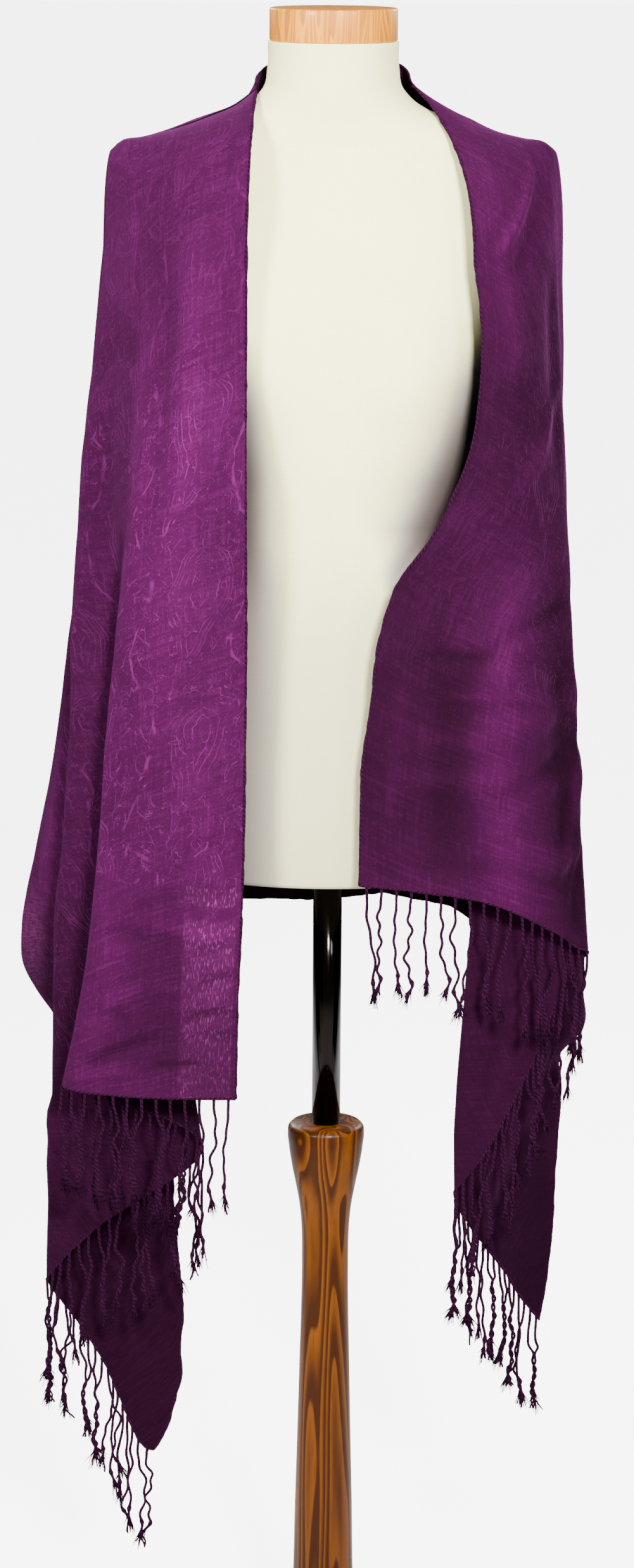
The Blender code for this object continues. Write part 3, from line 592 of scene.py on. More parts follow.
# Heights along the section: the end of the fall rows, the hem, and the lower edge of the back
knees = {
    "left": [(0, 0.640), (3, 0.640), (5.5, 0.600), (8.5, 0.560), (10.5, 0.600), (12, 0.675)],
    "right": [(18, 0.600), (21.5, 0.620), (23, 0.680), (24.5, 0.760), (27, 0.830)],
    "back": [(12, 0.675), (13, 0.69), (14, 0.703), (15, 0.701), (15.6, 0.709), (16.3, 0.698), (18, 0.6)],
}
hemLine = [
    (0, 0.592), (1, 0.591), (2.3, 0.594), (2.8, 0.5955), (4, 0.572), (5.5, 0.5286), (7, 0.468),
    (8.2, 0.402), (8.8, 0.388), (9.4, 0.356), (9.9, 0.315), (10.4, 0.272), (10.9, 0.243), (11.5, 0.226),
    (12, 0.2225), (18, 0.3327), (19, 0.362), (20, 0.415), (21, 0.47), (21.5, 0.49), (22, 0.503),
    (22.5, 0.53), (23, 0.59), (23.4, 0.648), (23.8, 0.683), (24.5, 0.701), (25, 0.7095), (25.25, 0.7215),
    (25.5, 0.734), (26, 0.759), (26.5, 0.7708), (27, 0.7785),
]

# Stretches: chart, first and last place, and the flat width and length of what shows. The whole scarf is cut
# about 0.75 by 1.90, with 0.10 of fringe at each end
stretches = {
    "left_front": ("left", 0.0, 3.4, (0.140, 0.840)),
    "left_side_fold": ("left", 3.4, 7.4, (0.090, 0.900)),
    "left_back_fold": ("left", 7.4, 12.0, (0.119, 1.100)),
    "back": ("back", 12.0, 18.0, (0.500, 0.735)),
    "right_back_fold": ("right", 18.0, 20.6, (0.097, 0.980)),
    "right_side_fold": ("right", 20.6, 23.6, (0.079, 0.780)),
    "right_front": ("right", 23.6, 27.0, (0.190, 0.620)),
}


def sectionControls(height, onBack):
    # control points (control, ..., 2) of the level section at an array of heights
    line = {name: smoothRead(rows, height) for name, rows in foldLines.items()}
    slant = scarf["slant"]
    lean = np.clip((height - slant["from"]) / (slant["full"] - slant["from"]), 0, 1)
    depth = np.full(height.shape, scarf["foldHalf"])
    half = {
        "left": np.stack([-slant["left"] * lean, depth], -1),
        "right": np.stack([-slant["right"] * lean, -depth], -1),
    }
    if not onBack:
        for side in ("left", "right"):
            free = np.clip((scarf["freeBelow"][side] - height) / scarf["freeOver"], 0, 1)[..., None]
            ahead = 2 * line[side + " selvedge"] - line[side + " back edge"]
            line[side + " back"] = line[side + " back"] * (1 - free) + ahead * free

    # a fold has one control for each of its layers, and there is one halfway between two folds
    controls, before = [], None
    for name, spot in line.items():
        if name.endswith("fold"):
            if before is not None:
                controls.append((before + spot) / 2)
            side = half[name.split()[0]]
            controls += [spot - side, spot + side]
            before = spot
        else:
            controls.append(spot)
            before = None
    return np.array(controls)


def splineWeights(place, controls):
    # share of each control in a uniform cubic B-spline that is led through its first and last control
    cell = np.clip(np.floor(place).astype(int), 0, controls - 2)
    f = place - cell
    basis = np.stack([(1 - f) ** 3, 3 * f**3 - 6 * f**2 + 4, -3 * f**3 + 3 * f**2 + 3 * f + 1, f**3], -1) / 6
    weights = np.zeros((len(place), controls + 2))
    rows = np.arange(len(place))
    for k in range(4):
        weights[rows, cell + k] += basis[:, k]
    inner = weights[:, 1:-1].copy()
    inner[:, 0] += 2 * weights[:, 0]
    inner[:, 1] -= weights[:, 0]
    inner[:, -1] += 2 * weights[:, -1]
    inner[:, -2] -= weights[:, -1]
    return inner


def sectionPoints(place, height, onBack=False):
    controls = sectionControls(height, onBack)
    level = np.einsum("pc,cprd->prd", splineWeights(place, len(controls)), controls)
    return np.concatenate([level, height[..., None]], axis=-1)


def ridgePoint(side, distance):
    level = smoothRead(ridges[side], distance)
    return np.stack([-distance if side == "left" else distance, level[:, 0], level[:, 1]], -1)


def columnStarts(chart, place):
    across = straightRead(starts[chart], place)
    if chart != "back":
        return ridgePoint(chart, across)
    left = ridgePoint("left", np.maximum(-across, ridges["left"][0][0]))
    right = ridgePoint("right", np.maximum(across, ridges["right"][0][0]))
    begin, end = scarf["neck"]
    turn = np.clip((place - begin) / (end - begin), 0, 1)
    angle = math.pi * turn
    neck = left[:, 2] * (1 - turn) + right[:, 2] * turn
    rise = neck + scarf["neckRise"] * np.sin(angle) ** 0.6
    collar = np.stack([-scarf["neckAcross"] * np.cos(angle), scarf["neckDeep"] * np.sin(angle), rise], -1)
    begun = np.where((place < begin)[:, None], left, collar)
    return np.where((place > end)[:, None], right, begun)


def shoulderPoints(chart, place, rows):
    # a cubic Bezier curve in each column, from the ridge or the neck edge down to the join
    start = columnStarts(chart, place)
    end = sectionPoints(place, np.full((len(place), 1), scarf["join"]), chart == "back")[:, 0]
    leave = np.array(leaving)
    share, shift, drop = (np.interp(place, leave[:, 0], leave[:, k]) for k in (1, 2, 3))
    first = start + share[:, None] * (end - start) * np.array([1.0, 1.0, 0.0])
    first[:, 0] += shift
    first[:, 2] -= drop
    second = end.copy()
    second[:, 2] += 0.5 * (start[:, 2] - scarf["join"])
    t = rows[None, :, None]
    return (
        (1 - t) ** 3 * start[:, None] + 3 * t * (1 - t) ** 2 * first[:, None]
        + 3 * t * t * (1 - t) * second[:, None] + t**3 * end[:, None]
    )


def clothPoints(chart, place):
    top = shoulderPoints(chart, place, np.linspace(0.0, 1.0, scarf["topRows"] + 1))
    down = np.linspace(0, 1, scarf["fallRows"] + 1)[1:]
    low = straightRead(knees[chart], place)[:, None]
    fall = sectionPoints(place, scarf["join"] + (low - scarf["join"]) * down, chart == "back")
    if chart == "back":
        return np.concatenate([top, fall], axis=1)
    down = np.linspace(0, 1, scarf["tailRows"] + 1)[1:]
    tail = sectionPoints(place, low + (smoothRead(hemLine, place) - low) * down)
    return np.concatenate([top, fall, tail], axis=1)


def evenPlaces(chart, first, last, spacing):
    # places along the section at equal steps of its mean length at three heights, both ends exact
    fine = np.linspace(first, last, 400)
    heights = np.broadcast_to(np.array(scarf["spacingHeights"]), (400, 3))
    steps = np.diff(sectionPoints(fine, heights, chart == "back"), axis=0)
    steps = np.linalg.norm(steps, axis=2).mean(axis=1)
    run = np.r_[0.0, np.cumsum(steps + 0.15 * steps.mean())]
    count = max(8, round(np.sum(steps) / spacing))
    return np.interp(np.linspace(0, run[-1], count + 1), run, fine)


def surfaceNormals(points):
    return unit(np.cross(np.gradient(points, axis=0), np.gradient(points, axis=1)))


def matchSeams(normals, points):
    # the charts share their normals where they meet: at the selvedges above the free tails, and on the ridges
    rows = scarf["topRows"] + scarf["fallRows"] + 1
    for chart, column, backColumn in (("left", -1, 0), ("right", 0, -1)):
        shared = unit(normals[chart][column, :rows] + normals["back"][backColumn, :rows])
        normals[chart][column, :rows] = shared
        normals["back"][backColumn, :rows] = shared
    for chart in ("left", "right"):
        front, back = points[chart][:, 0, 0], points["back"][:, 0, 0]
        onRidge = back <= front.max() if chart == "left" else back >= front.min()
        frontOnBack = readAlong(front, normals[chart][:, 0], back)
        backOnFront = readAlong(back, normals["back"][:, 0], front)
        frontNow = unit(normals[chart][:, 0] + backOnFront)
        normals["back"][onRidge, 0] = unit(normals["back"][:, 0] + frontOnBack)[onRidge]
        normals[chart][:, 0] = frontNow


# The form's rings. Rows are height, half width, depth in front, depth behind, squareness
formRings = [
    (0.769, 0.14, 0.098, 0.1, 2.1), (0.79, 0.148, 0.101, 0.106, 2.1), (0.85, 0.155, 0.104, 0.112, 2.1),
    (0.92, 0.15, 0.1, 0.108, 2.1), (1.0, 0.131, 0.092, 0.094, 2.1), (1.06, 0.123, 0.09, 0.087, 2.2),
    (1.15, 0.135, 0.103, 0.095, 2.2), (1.2, 0.145, 0.108, 0.101, 2.2), (1.25, 0.152, 0.104, 0.104, 2.3),
    (1.3, 0.162, 0.09, 0.1, 2.3), (1.34, 0.172, 0.074, 0.086, 2.2), (1.362, 0.176, 0.062, 0.074, 2.1),
    (1.376, 0.174, 0.056, 0.066, 2.0), (1.386, 0.16, 0.051, 0.06, 1.8), (1.3965, 0.13, 0.051, 0.057, 1.75),
    (1.4075, 0.1, 0.0515, 0.055, 1.75), (1.417, 0.077, 0.053, 0.0545, 1.8),
    (1.431, 0.06, 0.054, 0.0545, 2.0), (1.45, 0.055, 0.054, 0.054, 2.0),
    (1.4714, 0.0548, 0.0548, 0.0548, 2.0),
]

# Creases placed one by one. Rows are place and height where it starts, place and height where it ends,
# width, depth (a ridge if above nothing, else a trough), bow
creases = {
    "left": [
        # left front panel: long soft ripples down from the shoulder
        (0.85, 1.33, 1.0, 1.02, 0.016, 0.0016, 0.004),
        (1.75, 1.3, 1.55, 1.08, 0.014, -0.0018, -0.004),
        (1.35, 1.2, 1.3, 0.9, 0.02, 0.0014, 0.005),
        (0.45, 1.15, 0.5, 0.88, 0.015, -0.001, 0.003),
        (2.05, 1.18, 1.95, 0.96, 0.01, 0.0014, 0.002),
        # left front panel: low diagonal pulls and the folds of the end band
        (0.15, 0.77, 1.55, 0.745, 0.009, -0.0018, 0.006),
        (0.1, 0.735, 1.1, 0.742, 0.007, 0.0016, -0.003),
        (0.02, 0.7, 0.42, 0.694, 0.0045, -0.0022, 0.002),
        (0.02, 0.667, 0.62, 0.66, 0.0045, -0.0024, 0.003),
        (0.02, 0.646, 0.36, 0.65, 0.004, -0.002, -0.002),
        (0.35, 0.62, 0.95, 0.617, 0.004, -0.0022, 0.001),
        (0.95, 0.64, 1.9, 0.612, 0.0065, -0.0022, 0.004),
        (1.2, 0.612, 2.05, 0.602, 0.005, 0.0016, 0.003),
        (0.1, 0.728, 0.55, 0.719, 0.0045, -0.0014, 0.002),
        (1.1, 0.722, 1.95, 0.733, 0.007, -0.0016, 0.004),
        (0.8, 0.69, 1.7, 0.668, 0.008, 0.0016, 0.006),
        (1.25, 0.655, 2.0, 0.664, 0.006, -0.0014, 0.004),
        (0.95, 0.745, 0.9, 0.61, 0.02, -0.0034, 0.003),
        (1.75, 0.745, 1.8, 0.6, 0.016, 0.0018, -0.003),
        # left fold layers
        (5.0, 0.7, 6.6, 0.56, 0.016, 0.002, 0.01),
        (8.8, 0.76, 8.9, 0.48, 0.018, 0.0022, 0.006),
        (9.6, 0.56, 11.0, 0.4, 0.016, -0.0022, 0.008),
        (9.4, 0.48, 11.2, 0.3, 0.014, 0.002, -0.01),
        (9.9, 0.42, 11.6, 0.27, 0.01, -0.0016, 0.006),
        (10.3, 0.9, 10.6, 0.72, 0.014, 0.002, 0.004),
        (9.1, 1.1, 9.8, 0.84, 0.016, -0.0018, 0.006),
        (8.4, 1.18, 8.7, 0.93, 0.012, 0.0016, 0.004),
    ],
    "right": [
        # right front: the lit crease from the shoulder tip, pulls across the lower half
        (25.15, 1.382, 26.45, 1.306, 0.006, 0.0032, -0.004),
        (24.8, 1.372, 26.1, 1.285, 0.009, -0.0028, -0.004),
        (26.2, 1.3, 26.2, 1.2, 0.01, 0.0016, 0.004),
        (24.6, 1.3, 24.9, 1.12, 0.012, -0.0014, 0.006),
        (24.3, 1.2, 25.9, 1.11, 0.01, 0.0014, 0.006),
        (24.4, 1.01, 26.2, 0.96, 0.012, -0.0018, 0.01),
        (24.2, 0.93, 26.6, 0.9, 0.013, 0.0017, -0.01),
        (24.3, 0.885, 26.0, 0.838, 0.011, -0.0019, 0.008),
        (24.5, 0.845, 26.8, 0.868, 0.012, 0.0014, 0.008),
        (24.2, 0.8, 25.8, 0.79, 0.012, 0.0018, -0.008),
        (24.8, 0.76, 26.6, 0.792, 0.01, -0.0013, 0.006),
        (25.75, 1.02, 25.7, 0.7, 0.022, 0.0046, 0.004),
        (25.0, 0.98, 24.9, 0.7, 0.018, -0.003, 0.004),
        (26.4, 0.96, 26.35, 0.77, 0.018, -0.003, -0.004),
        (24.45, 0.88, 25.2, 0.77, 0.007, 0.002, -0.004),
        (24.25, 0.82, 24.95, 0.735, 0.006, -0.0018, 0.003),
        (25.3, 0.955, 26.75, 0.972, 0.006, -0.0014, 0.005),
        (25.1, 0.925, 26.5, 0.938, 0.005, 0.0012, 0.004),
        (26.75, 0.955, 26.72, 0.8, 0.009, 0.0012, 0.002),
        # right fold layers
        (21.9, 0.76, 22.4, 0.56, 0.018, 0.0024, 0.006),
        (22.4, 0.7, 23.1, 0.6, 0.014, -0.0018, 0.006),
        (18.6, 0.56, 20.2, 0.46, 0.016, 0.002, 0.008),
        (18.4, 0.82, 19.2, 0.64, 0.018, -0.002, 0.006),
        (18.6, 1.16, 19.2, 0.9, 0.016, 0.0018, 0.006),
    ],
    "back": [
        # back: slack swags under the neck and pulls towards the shoulders
        (13.0, 1.3, 15.0, 1.235, 0.02, -0.0043, -0.03),
        (17.0, 1.3, 15.2, 1.22, 0.02, -0.0038, 0.03),
        (13.3, 1.33, 14.8, 1.295, 0.016, 0.0034, -0.022),
        (16.8, 1.335, 15.3, 1.29, 0.016, 0.003, 0.022),
        (12.9, 1.24, 14.7, 1.13, 0.024, 0.0038, -0.028),
        (17.1, 1.23, 15.5, 1.11, 0.024, 0.0041, 0.028),
        (13.6, 1.08, 13.9, 0.78, 0.022, -0.0038, 0.012),
        (14.6, 1.04, 14.5, 0.74, 0.026, 0.0043, -0.01),
        (15.6, 1.06, 15.8, 0.76, 0.024, -0.0038, 0.01),
        (16.6, 1.02, 16.5, 0.73, 0.022, 0.0038, -0.012),
        (12.8, 1.0, 12.9, 0.76, 0.018, 0.0034, 0.008),
        (17.4, 0.98, 17.3, 0.72, 0.018, -0.0034, -0.008),
    ],
}

# Ripples all over. Rows are spacing across, in depth and in height, swing
ripples = [(0.055, 0.090, 0.240, 0.0026), (0.030, 0.060, 0.090, 0.0013), (0.016, 0.030, 0.026, 0.00050)]


def creaseHeights(chart, place, points):
    # each crease: depth * exp(-(distance / width)^2) * a rounded taper, in metres along the cloth,
    # its middle line bowed by 4 * bow * s * (1 - s)
    fromFirst = runFrom(points, 0)
    fromLast = fromFirst - fromFirst[-1:]
    total = np.zeros(points.shape[:2])
    height = points[..., 2]
    for place0, height0, place1, height1, width, depth, bow in creases[chart]:
        nearFirst = place0 + place1 < place[0] + place[-1]
        run = fromFirst if nearFirst else fromLast
        ends = []
        for spotPlace, spotHeight in ((place0, height0), (place1, height1)):
            column = np.abs(place - spotPlace).argmin()
            row = np.abs(height[column] - spotHeight).argmin()
            ends.append(np.array([run[column, row], height[column, row]]))
        step = ends[1] - ends[0]
        length = np.hypot(*step)
        x, y = run - ends[0][0], height - ends[0][1]
        s = (x * step[0] + y * step[1]) / length**2
        off = (x * -step[1] + y * step[0]) / length - 4 * bow * s * (1 - s)
        near = np.exp(-((off / width) ** 2))
        total += scarf["creaseDepth"] * depth * near * smoothstep(s, -0.15, 0.25) * smoothstep(s, 1.15, 0.75)
    return total


def clearOfForm(points):
    # where the cloth would touch the form below the shoulders it is led straight out from the axis: the share
    # of the way out to the ring, ((|x| / halfWide)^p + (|y| / depth)^p)^(1/p), is held above that of the gap
    ring = smoothRead(formRings, points[..., 2])
    halfWide, front, behind, power = (ring[..., k] for k in range(4))
    x, y = points[..., 0], points[..., 1]
    depth = np.where(y < 0, front, behind)
    out = ((np.abs(x) / halfWide) ** power + (np.abs(y) / depth) ** power) ** (1 / power)
    least = 1 + scarf["clearance"] / np.minimum(halfWide, depth)
    beside = (points[..., 2] > scarf["clearLow"]) & (points[..., 2] < scarf["clearHigh"]) & (out < least)
    push = np.where(beside, least / np.maximum(out, 0.6), 1.0)
    return points * np.stack([push, push, np.ones_like(push)], -1)


def shapeCloth():
    charts = {"left": [], "back": [], "right": []}
    swings = {}
    for chart, first, last, _ in stretches.values():
        spacing = scarf["backSpacing"] if chart == "back" else scarf["spacing"]
        charts[chart].append(evenPlaces(chart, first, last, spacing))
    places = {chart: np.unique(np.concatenate(parts)) for chart, parts in charts.items()}
    middles = {chart: clothPoints(chart, place) for chart, place in places.items()}
    normals = {chart: surfaceNormals(points) for chart, points in middles.items()}
    matchSeams(normals, middles)
    for chart, points in middles.items():
        swing = creaseHeights(chart, places[chart], points)
        for seed, (*cell, size) in enumerate(ripples):
            swing += size * latticeNoise(points, cell, seed + 5)
        inward = smoothstep(points[..., 2], *scarf["creaseFade"])
        swing = np.where(swing < 0, swing * inward, swing * (0.5 + 0.5 * inward))
        middles[chart] = clearOfForm(points + normals[chart] * swing[..., None])
        swings[chart] = swing
    normals = {chart: surfaceNormals(points) for chart, points in middles.items()}
    matchSeams(normals, middles)
    return places, middles, normals, swings


# Painted shade, from 0 on the lit front to 1 in the shaded folds. Rows are place, then the outer face at the
# shoulder, down the fall and in the free tail, then the inner face
paintedShadeTable = {
    "left": [(0, 0.40, 0.29, 0.47, 1.0), (0.5, 0.39, 0.18, 0.41, 1.0), (2.2, 0.39, 0.20, 0.43, 1.0),
             (2.55, 0.30, 0.02, 0.28, 1.0), (2.9, 0.34, 0.34, 0.56, 1.0), (3.4, 0.32, 0.52, 0.82, 1.0),
             (8.4, 0.30, 0.64, 0.90, 1.0), (9.0, 0.30, 0.64, 0.95, 0.98), (10.8, 0.32, 0.54, 0.97, 0.95),
             (12, 0.32, 0.34, 0.97, 0.95)],
    "back": [(12, 0.32, 0.34, 0.34, 0.9), (13.2, 0.26, 0.28, 0.28, 0.95), (16.8, 0.26, 0.28, 0.28, 0.95),
             (18, 0.32, 0.36, 0.36, 0.9)],
    "right": [(18, 0.32, 0.36, 0.97, 0.95), (19.5, 0.34, 0.58, 1.0, 0.95), (20.6, 0.40, 0.76, 1.0, 0.90),
              (21.3, 0.44, 0.84, 1.0, 0.90), (22.2, 0.50, 0.90, 0.92, 0.85), (23.6, 0.60, 0.92, 1.0, 0.80),
              (24.4, 0.56, 0.86, 0.96, 1.0), (25.1, 0.54, 0.78, 0.76, 1.0), (25.8, 0.46, 0.67, 0.38, 1.0),
              (26.4, 0.46, 0.66, 0.34, 1.0), (27, 0.48, 0.72, 0.44, 1.0)],
}
# Heights between which the shoulder's painted shade turns into the fall's, and the fall's into the tail's.
# The right fall is painted darker in its upper part
paintedShadeTurns = {
    "left": {"high": (1.16, 1.34), "low": (0.78, 0.62), "more": 0.0},
    "back": {"high": (1.16, 1.34), "low": (0.78, 0.62), "more": 0.0},
    "right": {"high": (1.20, 1.34), "low": (0.86, 0.72), "more": 0.12},
    "moreAt": (1.04, 1.18),
}


# painted shade of the outer and inner face, from 0 lit to 1 shaded, with troughs of creases painted darker
def paintedClothShade(chart, place, height, swing):
    rows, turns = np.array(paintedShadeTable[chart]).T, paintedShadeTurns[chart]
    shoulder, fall, tail, inner = (np.interp(place, rows[0], values)[:, None] for values in rows[1:])
    high = smoothstep(height, *turns["high"])
    upper = turns["more"] * smoothstep(height, *paintedShadeTurns["moreAt"])
    outer = shoulder * high + (fall + upper) * (1 - high)
    low = smoothstep(height, *turns["low"])
    outer = outer * (1 - low) + tail * low
    # painted shade and highlight: troughs are painted darker and ridges lighter, by a share for each
    # metre of crease that levels off
    most = scarf["creaseShadeMost"]
    outer = np.clip(outer - most * np.tanh(scarf["creaseShadeRate"] * swing / most), 0.0, 1.0)
    return outer, np.broadcast_to(inner, outer.shape)


def shell(name, points, normals, uvSets, tones, finish):
    # outer face half a thickness along the normals, inner face half a thickness back, closed by a rim
    columns, rows = points.shape[:2]
    index = np.arange(columns * rows).reshape(columns, rows)
    under = index + columns * rows
    outer = np.stack([index[:-1, :-1], index[1:, :-1], index[1:, 1:], index[:-1, 1:]], -1).reshape(-1, 4)
    inner = outer[:, ::-1] + columns * rows
    rims = [
        np.stack([index[0, :-1], index[0, 1:], under[0, 1:], under[0, :-1]], -1),
        np.stack([index[-1, 1:], index[-1, :-1], under[-1, :-1], under[-1, 1:]], -1),
        np.stack([index[1:, 0], index[:-1, 0], under[:-1, 0], under[1:, 0]], -1),
        np.stack([index[:-1, -1], index[1:, -1], under[1:, -1], under[:-1, -1]], -1),
    ]
    outward = [
        unit(grid[end] - grid[before])
        for grid in (points, np.swapaxes(points, 0, 1)) for end, before in ((0, 1), (-1, -2))
    ]
    corners = [np.stack([edge[:-1], edge[1:], edge[1:], edge[:-1]], 1) for edge in outward]
    flat = normals.reshape(-1, 3)
    loopNormals = np.concatenate(
        [flat[outer].reshape(-1, 3), -flat[inner - columns * rows].reshape(-1, 3)]
        + [edge.reshape(-1, 3) for edge in corners]
    )
    shift = normals * scarf["thickness"] / 2
    both = np.concatenate([(points + shift).reshape(-1, 3), (points - shift).reshape(-1, 3)])
    uvBoth = {key: np.tile(uv.reshape(-1, 2), (2, 1)) for key, uv in uvSets.items()}
    # the painted shade of both faces, carried in the uv map depth
    depth = np.concatenate([tone.reshape(-1) for tone in tones])
    uvBoth["depth"] = np.stack([depth, np.zeros_like(depth)], -1)
    return linkMesh(name, both, [outer, inner, *rims], finish, uvBoth, loopNormals)


def clothUv(points, chart):
    # metres along the cloth: across and down, then from the front edge and up from the hem
    across, down = runFrom(points, 0), runFrom(points, 1)
    up = down[:, -1:] - down
    if chart == "back":
        up = up + 1.0
    edge = across if chart == "left" else across[-1:] - across
    shift = {"left": 0.0, "back": 2.0, "right": 4.0}[chart]
    return {"cloth": np.stack([edge + shift, down], -1), "border": np.stack([edge, up], -1)}


# Cloth and yarn materials. Each cloth tone has a lit and a shaded copy, blended by the painted shade

glint = (0.90, 0.22, 0.80, 1.0)
scarfLitAndShadedTones = {
    "lit": {
        "ground": (0.0410, 0.0034, 0.0320, 1.0), "figure": (0.110, 0.0108, 0.090, 1.0),
        "deep": (0.0205, 0.0020, 0.0160, 1.0), "float": (0.150, 0.026, 0.118, 1.0),
    },
    "shaded": {
        "ground": (0.0092, 0.0018, 0.0066, 1.0), "figure": (0.0175, 0.0028, 0.0130, 1.0),
        "deep": (0.0052, 0.0012, 0.0040, 1.0), "float": (0.036, 0.008, 0.028, 1.0),
    },
}
jacquard = {
    "shine": {
        "Roughness": 0.5, "Sheen Weight": 0.06, "Sheen Roughness": 0.45, "Sheen Tint": glint,
        "Specular IOR Level": 0.0,
    },
    "weave": {"Pitch": 0.0010, "Stretch": 12.0},
    "streak": {"Pitch": 0.0026, "Stretch": 24.0},
    "motif": {"Width": 0.088, "Height": 0.132},
    "crinkles": ({"Scale": 78.0, "Amount": 0.80}, {"Scale": 36.0, "Amount": 0.66}),
    "patchScale": 13.0, "speckScale": 420.0, "crumpleScale": 75.0,
    "threadScale": (820.0, 150.0, 1.0),
    # shares of the blends
    "deepPatch": 0.28, "deepWeave": 0.45, "lightStreak": 0.16, "lightBody": 0.05, "lightFigure": 0.60,
    "lightSpeck": 0.35, "sparse": 0.06, "floats": 0.80,
    # heights of the bump in metres
    "weaveHigh": 0.00045, "streakHigh": 0.00035, "figureHigh": 0.00095, "bodyHigh": 0.00030,
    "crumpleHigh": (0.0008, 0.0020), "floatHigh": 0.00025,
}
stripe = {
    "width": 0.049, "height": 0.163, "wander": 0.010,
    "patchLow": 0.176, "patchHigh": 0.190, "patchWidth": 0.058,
}
sheerCorner = {"across": (-0.240, -0.262), "low": (0.632, 0.660), "high": (0.752, 0.700)}


def makeScarfMaterial():
    made, tree, shader = newMaterial("plum jacquard", jacquard["shine"])
    # painted shade: each tone is blended from its lit to its shaded copy by the shade painted at each point
    depth = splitVector(tree, uvMap(tree, "depth"))["X"]
    shaded = scarfLitAndShadedTones["shaded"]
    tones = {key: blendColour(tree, depth, lit, shaded[key]) for key, lit in scarfLitAndShadedTones["lit"].items()}
    uv = uvMap(tree, "cloth")
    edge = splitVector(tree, uvMap(tree, "border"))
    onLeft = fade(tree, splitVector(tree, uv)["X"], 1.01, 0.99)
    spot = splitVector(tree, objectSpot(tree))
    weave = useGroup(tree, weaveGroup, Vector=uv, **jacquard["weave"])
    streak = useGroup(tree, weaveGroup, Vector=uv, **jacquard["streak"])
    motif = useGroup(tree, paisleyGroup, Vector=uv, **jacquard["motif"])
    strokes = [useGroup(tree, crinkleGroup, Vector=uv, **sizes)["Stroke"] for sizes in jacquard["crinkles"]]
    patterned = fade(tree, edge["Y"], scarf["bandHeight"] + 0.024, scarf["bandHeight"] + 0.032)
    # painted highlight: the figure and the crinkle strokes are drawn lighter and less rough, and the cloth is
    # crumpled more, most of all on the lower left front
    creasedAndLit = product(
        tree, fade(tree, spot["X"], 0.05, -0.05, 0.30, 1.0), fade(tree, spot["Z"], 1.27, 1.12, 0.45, 1.0),
        fade(tree, spot["Y"], 0.04, -0.02, 0.25, 1.0),
    )
    strokes = product(tree, calc(tree, "MAXIMUM", *strokes), fade(tree, patterned, 0.0, 1.0, 0.25, 1.0))
    figure = product(tree, motif["Figure"], patterned)
    lit = product(tree, calc(tree, "MAXIMUM", figure, strokes), creasedAndLit)
    patch = noiseAt(tree, uv, jacquard["patchScale"], 3.0)["Fac"]
    speck = noiseAt(tree, uv, jacquard["speckScale"], 2.0)["Fac"]
    # beside the left front edge the end band has a sparser stripe, where single threads catch the light
    beside = plus(tree, edge["X"], product(tree, minus(tree, patch, 0.5), stripe["wander"]))
    low = product(
        tree, fade(tree, beside, stripe["width"] + 0.002, stripe["width"] - 0.003),
        fade(tree, edge["Y"], stripe["height"] + 0.002, stripe["height"] - 0.004),
    )
    high = product(
        tree, fade(tree, beside, stripe["patchWidth"], stripe["patchWidth"] - 0.016),
        fade(tree, edge["Y"], stripe["patchLow"] - 0.002, stripe["patchLow"]),
        fade(tree, edge["Y"], stripe["patchHigh"] + 0.002, stripe["patchHigh"]),
    )
    sparse = product(tree, calc(tree, "MAXIMUM", low, high), onLeft, fade(tree, edge["X"], 0.003, 0.006))
    threads = noiseAt(tree, stretched(tree, uv, *jacquard["threadScale"]), 1.0, 2.0)["Fac"]
    floats = product(tree, sparse, fade(tree, threads, 0.53, 0.66), fade(tree, patch, 0.36, 0.58, 0.25, 1.0))
    # light shows through the single layer at the left corner
    thin = product(
        tree, fade(tree, spot["X"], *sheerCorner["across"]), fade(tree, spot["Z"], *sheerCorner["low"]),
        fade(tree, spot["Z"], *sheerCorner["high"]), fade(tree, weave["Height"], 0.42, 0.60, 0.1, 0.75),
    )
    colour = tones["ground"]
    for share, tone in (
        (fade(tree, patch, 0.62, 0.34, 0.0, jacquard["deepPatch"]), "deep"),
        (product(tree, minus(tree, 1.0, weave["Tone"]), jacquard["deepWeave"]), "deep"),
        (fade(tree, streak["Tone"], 0.60, 1.0, 0.0, jacquard["lightStreak"]), "figure"),
        (product(tree, motif["Body"], patterned, jacquard["lightBody"]), "figure"),
        (product(tree, lit, jacquard["lightFigure"]), "figure"),
        (fade(tree, speck, 0.60, 0.74, 0.0, jacquard["lightSpeck"]), "figure"),
        (product(tree, sparse, jacquard["sparse"]), "float"),
        (product(tree, floats, jacquard["floats"]), "float"),
        (thin, "float"),
    ):
        colour = blendColour(tree, share, colour, tones[tone])
    rough = minus(tree, 0.56, product(tree, lit, 0.16))
    tree.links.new(plus(tree, rough, product(tree, weave["Tone"], -0.08)), shader.inputs["Roughness"])
    crumple = noiseAt(tree, uv, jacquard["crumpleScale"], 4.0, Distortion=0.8)["Fac"]
    height = plus(
        tree, product(tree, weave["Height"], jacquard["weaveHigh"]),
        product(tree, streak["Height"], jacquard["streakHigh"]), product(tree, lit, jacquard["figureHigh"]),
        product(tree, motif["Body"], creasedAndLit, jacquard["bodyHigh"]),
        product(tree, crumple, fade(tree, creasedAndLit, 0.3, 1.0, *jacquard["crumpleHigh"])),
        product(tree, floats, jacquard["floatHigh"]),
    )
    dressShader(tree, shader, colour, height)
    return made


yarns = {
    # the ply's own tone, and a darker tone painted as shade in the groove and also used for the fuzz
    "fringe yarn": {"ply": (0.020, 0.0032, 0.0155, 1.0), "grooveShadeAndFuzz": (0.0045, 0.0011, 0.0034, 1.0)},
    "rolled edge yarn": {"ply": (0.022, 0.0032, 0.017, 1.0), "grooveShadeAndFuzz": (0.006, 0.0013, 0.0045, 1.0)},
    "shine": {"Roughness": 0.6, "Sheen Weight": 0.04, "Sheen Tint": glint, "Specular IOR Level": 0.0},
    "winding": 1500.0,  # radians along each metre
    "plyHigh": 0.00035, "fuzzHigh": 0.0003,
}


